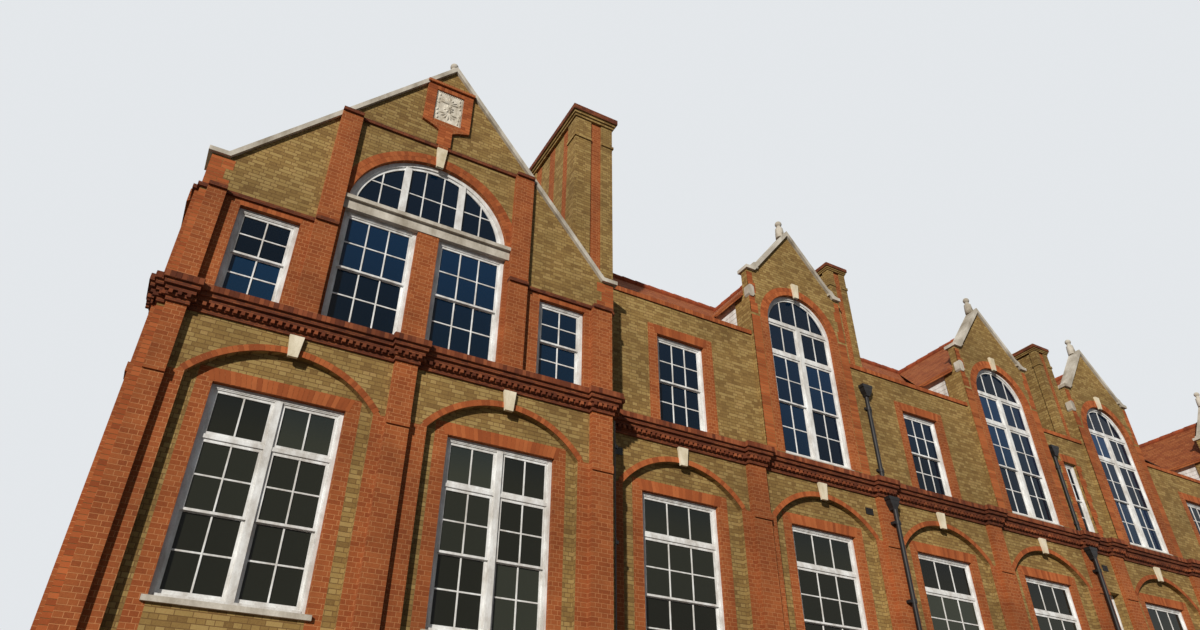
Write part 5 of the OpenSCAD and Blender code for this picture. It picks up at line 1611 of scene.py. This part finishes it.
# %% The wing's ridge and the ridges behind the gables
CROSS_SINK = 0.090
CROSS_IN = 0.340
tile_z = WING_RIDGE - RIDGE_SINK
far_end = (WING_RIGHT - RIDGE_IN, RIDGE_Y, tile_z)
ridge("wing_ridge_tiles", (valley_x - 0.05, RIDGE_Y, tile_z), far_end)
tile_z = WING_RIDGE - CROSS_SINK
for i in GABLES:
    x = bay_mid[i]
    ridge(f"cross_ridge_tiles_{i}", (x, GABLE_BACK + CROSS_IN, tile_z), (x, RIDGE_Y, tile_z), 0.11)

# %% [markdown]
# ## The parapet and the boarded cheeks
# Bricks on edge cap the parapet between the gables. Behind each gable the cross roof has
# white boarded cheeks that die into the main roof, so every board is a little longer than
# the one below it. Both are blocks again.

# %% Parapet bricks
parapet_blocks = []
stops = [PAV_RIGHT]
for i in GABLES:
    stops += [bay_mid[i] - GABLE_HALF, bay_mid[i] + GABLE_HALF]
stops.append(WING_RIGHT)
for a, b in zip(stops[0::2], stops[1::2]):
    if b - a > BRICK:
        parapet_blocks += run_x(
            a, b, WING_FACE - 0.030, COURSE, 0.067, 0.004, PARAPET + 0.003, PARAPET_TOP - 0.001,
        )
lay_blocks("parapet_edge_bricks", parapet_blocks, arch_brick)

# %% Boards on the cheeks
CHEEK_X = GABLE_HALF - 0.060
CHEEK_TOP = CROSS_TOP - CROSS_T + THINNER - CHEEK_X * RAISED_PITCH - 0.015
BOARD = 0.135
BOARD_GAP = 0.006
BOARDS = 10
board_blocks = []
for i in GABLES:
    for side in (-1, 1):
        for k in range(BOARDS):
            z0 = PARAPET_TOP - 0.110 + k * BOARD
            z1 = min(z0 + BOARD - BOARD_GAP, CHEEK_TOP - 0.010)
            far = WALL_BACK + (z0 - MAIN_FOOT) / TILED_PITCH - 0.020
            near = GABLE_BACK + 0.002
            if z1 - z0 > 0.03 and far > near:
                x = bay_mid[i] + side * CHEEK_X
                board_blocks.append(span(x - 0.004, x + side * 0.016, near, far, z0, z1))
lay_blocks("cheek_boards", board_blocks, painted_timber, bevel=0.004)

# %% [markdown]
# ## Stones at the feet of the gables
# A swept stone turns each coping from the slope to the level kneeler, and a small lead
# wrapped block closes the eaves at the left of each gable. A short outline pushed back
# through the gable's thickness gives the sweep, so one closed prism is enough.

# %% Prisms with rounded edges
SHARP = 0.6
EDGE_STEPS = 2


def prism(bm, outline, y0, y1):
    """An outline of x and z pushed from y0 to y1"""
    near = [bm.verts.new((x, y0, z)) for x, z in outline]
    far = [bm.verts.new((x, y1, z)) for x, z in outline]
    bm.faces.new(near)
    bm.faces.new(list(reversed(far)))
    for k in range(len(outline)):
        j = (k + 1) % len(outline)
        bm.faces.new((near[k], far[k], far[j], near[j]))


def from_bmesh(name, bm, finish, stands_for=(), edge=0.0):
    """A built shape whose sharp edges are rounded first"""
    if edge:
        sharp = [e for e in bm.edges if len(e.link_faces) == 2 and e.calc_face_angle() > SHARP]
        bmesh.ops.bevel(
            bm, geom=sharp, offset=edge, segments=EDGE_STEPS, affect="EDGES", clamp_overlap=True,
        )
    return plain_piece(name, bm, finish, stands_for)


print("edges sharper than", round(math.degrees(SHARP)), "degrees are rounded")

# %% Kneeler stones
GABLE_KNEELER = 13.960
STONE_OUT = 0.066
SWEEP = [
    (0.020, 0.0), (-0.060, 0.008), (-0.120, 0.035), (-0.165, 0.085), (-0.200, 0.145),
    (-0.330, 0.200), (-0.330, -0.01),
]
stones = bmesh.new()
for i in GABLES:
    for side in (-1, 1):
        foot = bay_mid[i] + side * GABLE_HALF
        outline = [(foot + side * x, GABLE_KNEELER + z) for x, z in SWEEP]
        prism(stones, outline, WING_PIER_Y - STONE_OUT, GABLE_BACK + STONE_OUT)
from_bmesh("kneeler_stones", stones, stained_stone, edge=0.008)

# %% Eaves blocks
BLOCK_X = (-0.035, 0.140)
BLOCK_Z = (13.060, 13.400)
lumps = bmesh.new()
low, high = BLOCK_Z
for i in GABLES:
    a, b = (bay_mid[i] - GABLE_HALF + x for x in BLOCK_X)
    outline = [
        (a, low + 0.06), (a + 0.05, low), (b - 0.05, low), (b, low + 0.06),
        (b, high - 0.05), (b - 0.05, high), (a + 0.05, high), (a, high - 0.05),
    ]
    prism(lumps, outline, WING_PIER_Y - 0.030, WING_PIER_Y + 0.140)
from_bmesh("eaves_blocks", lumps, stained_stone, edge=0.012)

# %% [markdown]
# ## The plaque
# The gable carries a pale carved panel. Its own carving isn't copied: this one has a
# rosette between two sprays of leaves, with a beaded rim. Every petal and leaf is a
# flattened ball turned to an angle of its own, which reads as carving at this size.

# %% Petals and beads of the carving
PLAQUE_Y = FACE - 0.030
PLAQUE_Z = (14.410, 15.280)
PLAQUE_HALF = 0.300
BEAD_SIZE = 0.030
BEAD_IN = 0.024
carving = bmesh.new()


def petal(x, z, length, width, angle, rise):
    """A flattened ball whose long axis points at angle"""
    turn = Matrix.Rotation(math.pi / 2 - angle, 4, "Y")
    out = length / 2
    place = Matrix.Translation((x + out * math.cos(angle), PLAQUE_Y, z + out * math.sin(angle)))
    size = Matrix.Diagonal((width / 2, rise, out, 1))
    bmesh.ops.create_icosphere(carving, subdivisions=2, radius=1.0, matrix=place @ turn @ size)


def bead(x, z):
    petal(x - BEAD_SIZE / 2, z, BEAD_SIZE, BEAD_SIZE, 0.0, 0.014)


print("a bead is", BEAD_SIZE, "m across")

# %% Rosette and leaves
ROSE_PETALS = 8
LEAVES = [
    (0.190, 0.0, 0.060), (0.170, 0.50, 0.052), (0.170, -0.50, 0.052), (0.190, 1.02, 0.050),
    (0.190, -1.02, 0.050), (0.200, 1.52, 0.046), (0.200, -1.52, 0.046),
]
SPRAY_X, SPRAY_Z, SPRAY_STEP = 0.215, 0.075, 0.110
middle_z = sum(PLAQUE_Z) / 2
for length, width, start, rise in ((0.120, 0.062, 0.39, 0.026), (0.070, 0.040, 0.0, 0.036)):
    for k in range(ROSE_PETALS):
        petal(AXIS_X, middle_z, length, width, k * math.pi / 4 + start, rise)
petal(AXIS_X - 0.024, middle_z, 0.048, 0.048, 0.0, 0.046)
for end in (-1, 1):
    for reach, lean, width in LEAVES:
        petal(AXIS_X, middle_z + end * 0.150, reach, width, end * (math.pi / 2 - lean), 0.024)
    for side in (-1, 1):
        for k in range(3):
            lean = end * (0.9 + 0.3 * k)
            z = middle_z + end * (SPRAY_Z + SPRAY_STEP * k)
            angle = lean if side > 0 else math.pi - lean
            petal(AXIS_X + side * SPRAY_X, z, 0.085, 0.048, angle, 0.020)
print("rosette and leaves", len(carving.faces), "faces")

# %% The beaded rim
BEADS_ACROSS, BEADS_UP = 14, 21
rim_x = PLAQUE_HALF - BEAD_IN
rim_low, rim_high = PLAQUE_Z[0] + BEAD_IN, PLAQUE_Z[1] - BEAD_IN
for k in range(BEADS_ACROSS + 1):
    for z in (rim_low, rim_high):
        bead(AXIS_X - rim_x + k * 2 * rim_x / BEADS_ACROSS, z)
for k in range(1, BEADS_UP):
    for side in (-1, 1):
        bead(AXIS_X + side * rim_x, rim_low + k * (rim_high - rim_low) / BEADS_UP)
from_bmesh("plaque_carving", carving, carved_stone)

# %% Surround drawn down to the plaque
FRAME_TOP = PLAQUE_Z[1] + 0.200
FRAME_DROP = 0.070
CAP_DROP = 0.120
CAP_SIDE = PLAQUE_HALF + 0.240
CAP_IN = 0.020
surround = merged_copy("plaque_surround")
for corner in surround.verts:
    if corner.co.z > FRAME_TOP + 0.060:
        corner.co.z -= CAP_DROP
    elif corner.co.z > FRAME_TOP - 0.020:
        corner.co.z -= FRAME_DROP
    reach = corner.co.x - AXIS_X
    if abs(reach) > CAP_SIDE - 0.010:
        corner.co.x -= math.copysign(CAP_IN, reach)
plain_piece("plaque_frame", surround, red_brick, ("plaque_surround",))

# %% Brick frame of the plaque
FRAME_Y = FACE - 0.060
FRAME_W = 0.200
FRAME_FOOT = PLAQUE_Z[0] - 0.100
FRAME_COURSE = 0.078
FRAME_GAP = 0.002
NECK_Z = 13.740
NECK_HALF = 0.145
frame_blocks = []


def frame_brick(x0, x1, z, height):
    """One brick of the frame, proud of its face"""
    frame_blocks.append(span(x0, x1, FRAME_Y - 0.003, FRAME_Y + 0.02, z + 0.003, z + height))


for k in range(14):
    z = FRAME_FOOT + k * FRAME_COURSE
    for side in (-1, 1):
        a = AXIS_X + side * PLAQUE_HALF
        b = AXIS_X + side * (PLAQUE_HALF + FRAME_W)
        cut = (a + b) / 2 if k % 2 else b
        frame_brick(a + side * FRAME_GAP, cut - side * FRAME_GAP, z, 0.073)
        if k % 2:
            frame_brick(cut + side * FRAME_GAP, b - side * 0.001, z, 0.073)
for k in range(8):
    x = AXIS_X - PLAQUE_HALF + COURSE * k
    frame_brick(x + 0.003, x + 0.072, PLAQUE_Z[1], 0.126)
for k in range(7):
    z = NECK_Z + k * COURSE
    frame_brick(AXIS_X - NECK_HALF, AXIS_X - FRAME_GAP, z, 0.071)
    frame_brick(AXIS_X + FRAME_GAP, AXIS_X + NECK_HALF, z, 0.071)
lay_blocks("plaque_frame_bricks", frame_blocks, arch_brick)

# %% [markdown]
# ## Rainwater heads and pipe collars
# A cast head is wide at its rim and draws in to the pipe, so it is lofted through six
# rectangles. The pipes have a collar with two ears at every joint.

# %% Cast iron heads
PIPE_X = [bay_left[2] + 0.100, bay_left[4] - 0.100]
PIPE_R = 0.050
HEAD_RINGS = [
    (0.0, 0.062, 0.124), (0.045, 0.070, 0.132), (0.130, 0.120, 0.150),
    (0.210, 0.135, 0.154), (0.225, 0.158, 0.159), (0.298, 0.160, 0.160),
]
LOW_HEAD = CORNICE_Z - 0.300
HIGH_HEAD = 11.230


def loft(bm, x, back, z, rings):
    """Rectangles of half width and depth, one above the other, against a wall"""
    rows = []
    for rise, half, depth in rings:
        corners = ((-half, depth), (half, depth), (half, 0), (-half, 0))
        rows.append([bm.verts.new((x + a, back - b, z + rise)) for a, b in corners])
    for low, high in zip(rows, rows[1:]):
        for k in range(4):
            j = (k + 1) % 4
            bm.faces.new((low[k], low[j], high[j], high[k]))
    bm.faces.new(list(reversed(rows[0])))
    bm.faces.new(rows[-1])


heads = bmesh.new()
for x in PIPE_X:
    loft(heads, x, WING_PIER_Y, LOW_HEAD, HEAD_RINGS)
    loft(heads, x, WING_FACE, HIGH_HEAD, HEAD_RINGS)
from_bmesh("cast_heads", heads, black_iron, ("rainwater_heads",), edge=0.004)

# %% Collars on the pipes
COLLAR_H = 0.085
COLLAR_OUT = (0.010, 0.014)
EAR = 0.055
EAR_HALF = 0.030
WING_COLLARS = (0.9, 2.7, 4.5, 6.3, 8.0)
UPPER_COLLARS = (9.30, 10.9)
PAV_COLLARS = (0.9, 2.7, 4.5, 6.3, 8.1)
collars = bmesh.new()


def collar(x, y, z, radius, wall):
    """A ring round the pipe with an ear at each side, which reaches the wall"""
    low, high = (radius + out for out in COLLAR_OUT)
    bmesh.ops.create_cone(
        collars, cap_ends=True, segments=20, radius1=low, radius2=high, depth=COLLAR_H,
        matrix=Matrix.Translation((x, y, z)),
    )
    for side in (-1, 1):
        near, far = x + side * radius * 0.8, x + side * (radius + EAR)
        low, high = z - EAR_HALF, z + EAR_HALF
        outline = [(near, low), (far, low), (far, high), (near, high)]
        prism(collars, outline, min(y, wall - 0.010), wall)


for x in PIPE_X:
    for z in WING_COLLARS:
        collar(x, WING_PIER_Y - 0.110, z, PIPE_R, WING_PIER_Y)
    for z in UPPER_COLLARS:
        collar(x, WING_FACE - 0.050, z, PIPE_R, WING_FACE)
for z in PAV_COLLARS:
    collar(PAV_RIGHT + 0.030, FACE + 0.060, z, 0.030, FACE + 0.100)
from_bmesh("pipe_collars", collars, black_iron)

# %% [markdown]
# ## Door and vents
# The door in the narrow bay has four raised panels in a frame of stiles and rails. The
# vents under the cornice are cast gratings with upright slots.

# %% Door panels
DOOR_FOOT, DOOR_HEAD = 0.150, 2.450
STILES = ((-0.360, -0.250), (-0.045, 0.045), (0.250, 0.360))
RAILS = ((DOOR_FOOT, 0.390), (1.050, 1.230), (2.330, DOOR_HEAD))
BETWEEN = ((-0.250, -0.045), (0.045, 0.250))
PANELS = ((-0.215, -0.080), (0.080, 0.215))
PANEL_Z = ((0.440, 1.000), (1.280, 2.280))
door_blocks = []


def door_block(reach, low, high, out):
    """A block of the door between two distances from its middle"""
    a, b = (bay_mid[NARROW] + x for x in reach)
    door_blocks.append(span(a, b, WING_PANEL - out, WING_PANEL + 0.01, low, high))


for stile in STILES:
    door_block(stile, DOOR_FOOT, DOOR_HEAD, 0.012)
for low, high in RAILS:
    for gap in BETWEEN:
        door_block(gap, low, high, 0.012)
for low, high in PANEL_Z:
    for panel in PANELS:
        door_block(panel, low, high, 0.007)
lay_blocks("door_joinery", door_blocks, door_paint, bevel=0.005)

# %% Vent bars
VENT_HALF = 0.110
VENT_Z = (8.165, 8.285)
VENT_OUT = 0.018
VENT_BARS = 7
VENT_RAIL = 0.015
vent_blocks = []


def vent_block(x0, x1, z0, z1):
    vent_blocks.append(span(x0, x1, WING_FACE - VENT_OUT, WING_FACE, z0, z1))


for x in (bay_left[0] + 0.330, bay_left[2] - 0.480, bay_mid[NARROW]):
    for k in range(VENT_BARS):
        u = x - VENT_HALF + 2 * VENT_HALF * (k + 0.5) / VENT_BARS
        vent_block(u - 0.009, u + 0.009, *VENT_Z)
    for z in (VENT_Z[0] - VENT_RAIL, VENT_Z[1]):
        vent_block(x - VENT_HALF, x + VENT_HALF, z, z + VENT_RAIL)
lay_blocks("vent_bars", vent_blocks, black_iron)

# %% [markdown]
# ## Camera and light
# The photograph was taken from the pavement, close to the pavilion, with the camera
# turned up and right. Its place and its three angles come from matching the corners of
# the solids to the photograph. The sun stands at the left, low over the street.

# %% Camera
CAMERA_PLACE = (-16.416, -16.495, 1.600)
TURN = math.radians(29.06)
TILT = math.radians(33.99)
ROLL = math.radians(0.23)
camera_data = bpy.data.cameras.new("street_camera")
camera_data.sensor_width = 36
camera_data.lens = 24.691
camera_data.clip_end = 200
camera = placed("street_camera", camera_data)
turned = Matrix.Translation(CAMERA_PLACE)
for angle, axis in ((-TURN, "Z"), (math.pi / 2 + TILT, "X"), (ROLL, "Z")):
    turned = turned @ Matrix.Rotation(angle, 4, axis)
camera.matrix_world = turned
bpy.context.scene.camera = camera
print("camera", CAMERA_PLACE[2], "m over the ground")

# %% Sun and sky
SUN_WAY = Vector((1.0, 1.0, -0.5))


def seen_ray(tree):
    """One for rays of the camera, of gloss and through glass, which see the pale room"""
    path = add(tree, "ShaderNodeLightPath")
    direct = maths(tree, "MAXIMUM", path.outputs["Is Camera Ray"], path.outputs["Is Glossy Ray"])
    return maths(tree, "MAXIMUM", direct, path.outputs["Is Transmission Ray"])


sun_data = bpy.data.lights.new("sun", "SUN")
sun_data.energy = 4.0
sun_data.angle = math.radians(1.5)
sun_data.color = (1.0, 0.95, 0.87)
sun = placed("sun", sun_data)
sun.rotation_euler = SUN_WAY.to_track_quat("-Z", "Y").to_euler()

world = bpy.data.worlds.new("pale_room")
bpy.context.scene.world = world
world.use_nodes = True
tree = world.node_tree
tree.nodes.clear()
out = add(tree, "ShaderNodeOutputWorld")
fill = add(tree, "ShaderNodeBackground")
fill.inputs["Color"].default_value = (0.80, 0.88, 1.0, 1)
fill.inputs["Strength"].default_value = 0.19
seen = add(tree, "ShaderNodeBackground")
seen.inputs["Color"].default_value = (0.86, 0.89, 0.92, 1)
seen.inputs["Strength"].default_value = 0.9
both = add(tree, "ShaderNodeMixShader")
tree.links.new(seen_ray(tree), both.inputs[0])
tree.links.new(fill.outputs[0], both.inputs[1])
tree.links.new(seen.outputs[0], both.inputs[2])
tree.links.new(both.outputs[0], out.inputs["Surface"])
print("sun", sun_data.energy, "fill", fill.inputs["Strength"].default_value)

# %% A pale floor that throws less light up than it shows
FLOOR_HALF = 90
floor_mesh = bpy.data.meshes.new("floor")
floor_mesh.from_pydata(
    [(x * FLOOR_HALF, y * FLOOR_HALF, 0) for x, y in ((-1, -1), (1, -1), (1, 1), (-1, 1))],
    [], [(0, 1, 2, 3)],
)
floor = placed("floor", floor_mesh)
floor_finish = weathered(
    "floor_finish", linear(226, 224, 220), linear(216, 214, 210), 0.4, 0.2, 0.9, 0.001, 8,
)
tree = floor_finish.node_tree
shader = next(node for node in tree.nodes if node.type == "BSDF_PRINCIPLED")
pale = shader.inputs["Base Color"].links[0].from_socket
shown = mix(tree, "MIX", seen_ray(tree), linear(104, 100, 96), pale)
tree.links.new(shown, shader.inputs["Base Color"])
floor_mesh.materials.append(floor_finish)
bpy.context.scene.view_settings.view_transform = "Standard"
print("floor", 2 * FLOOR_HALF, "m wide")
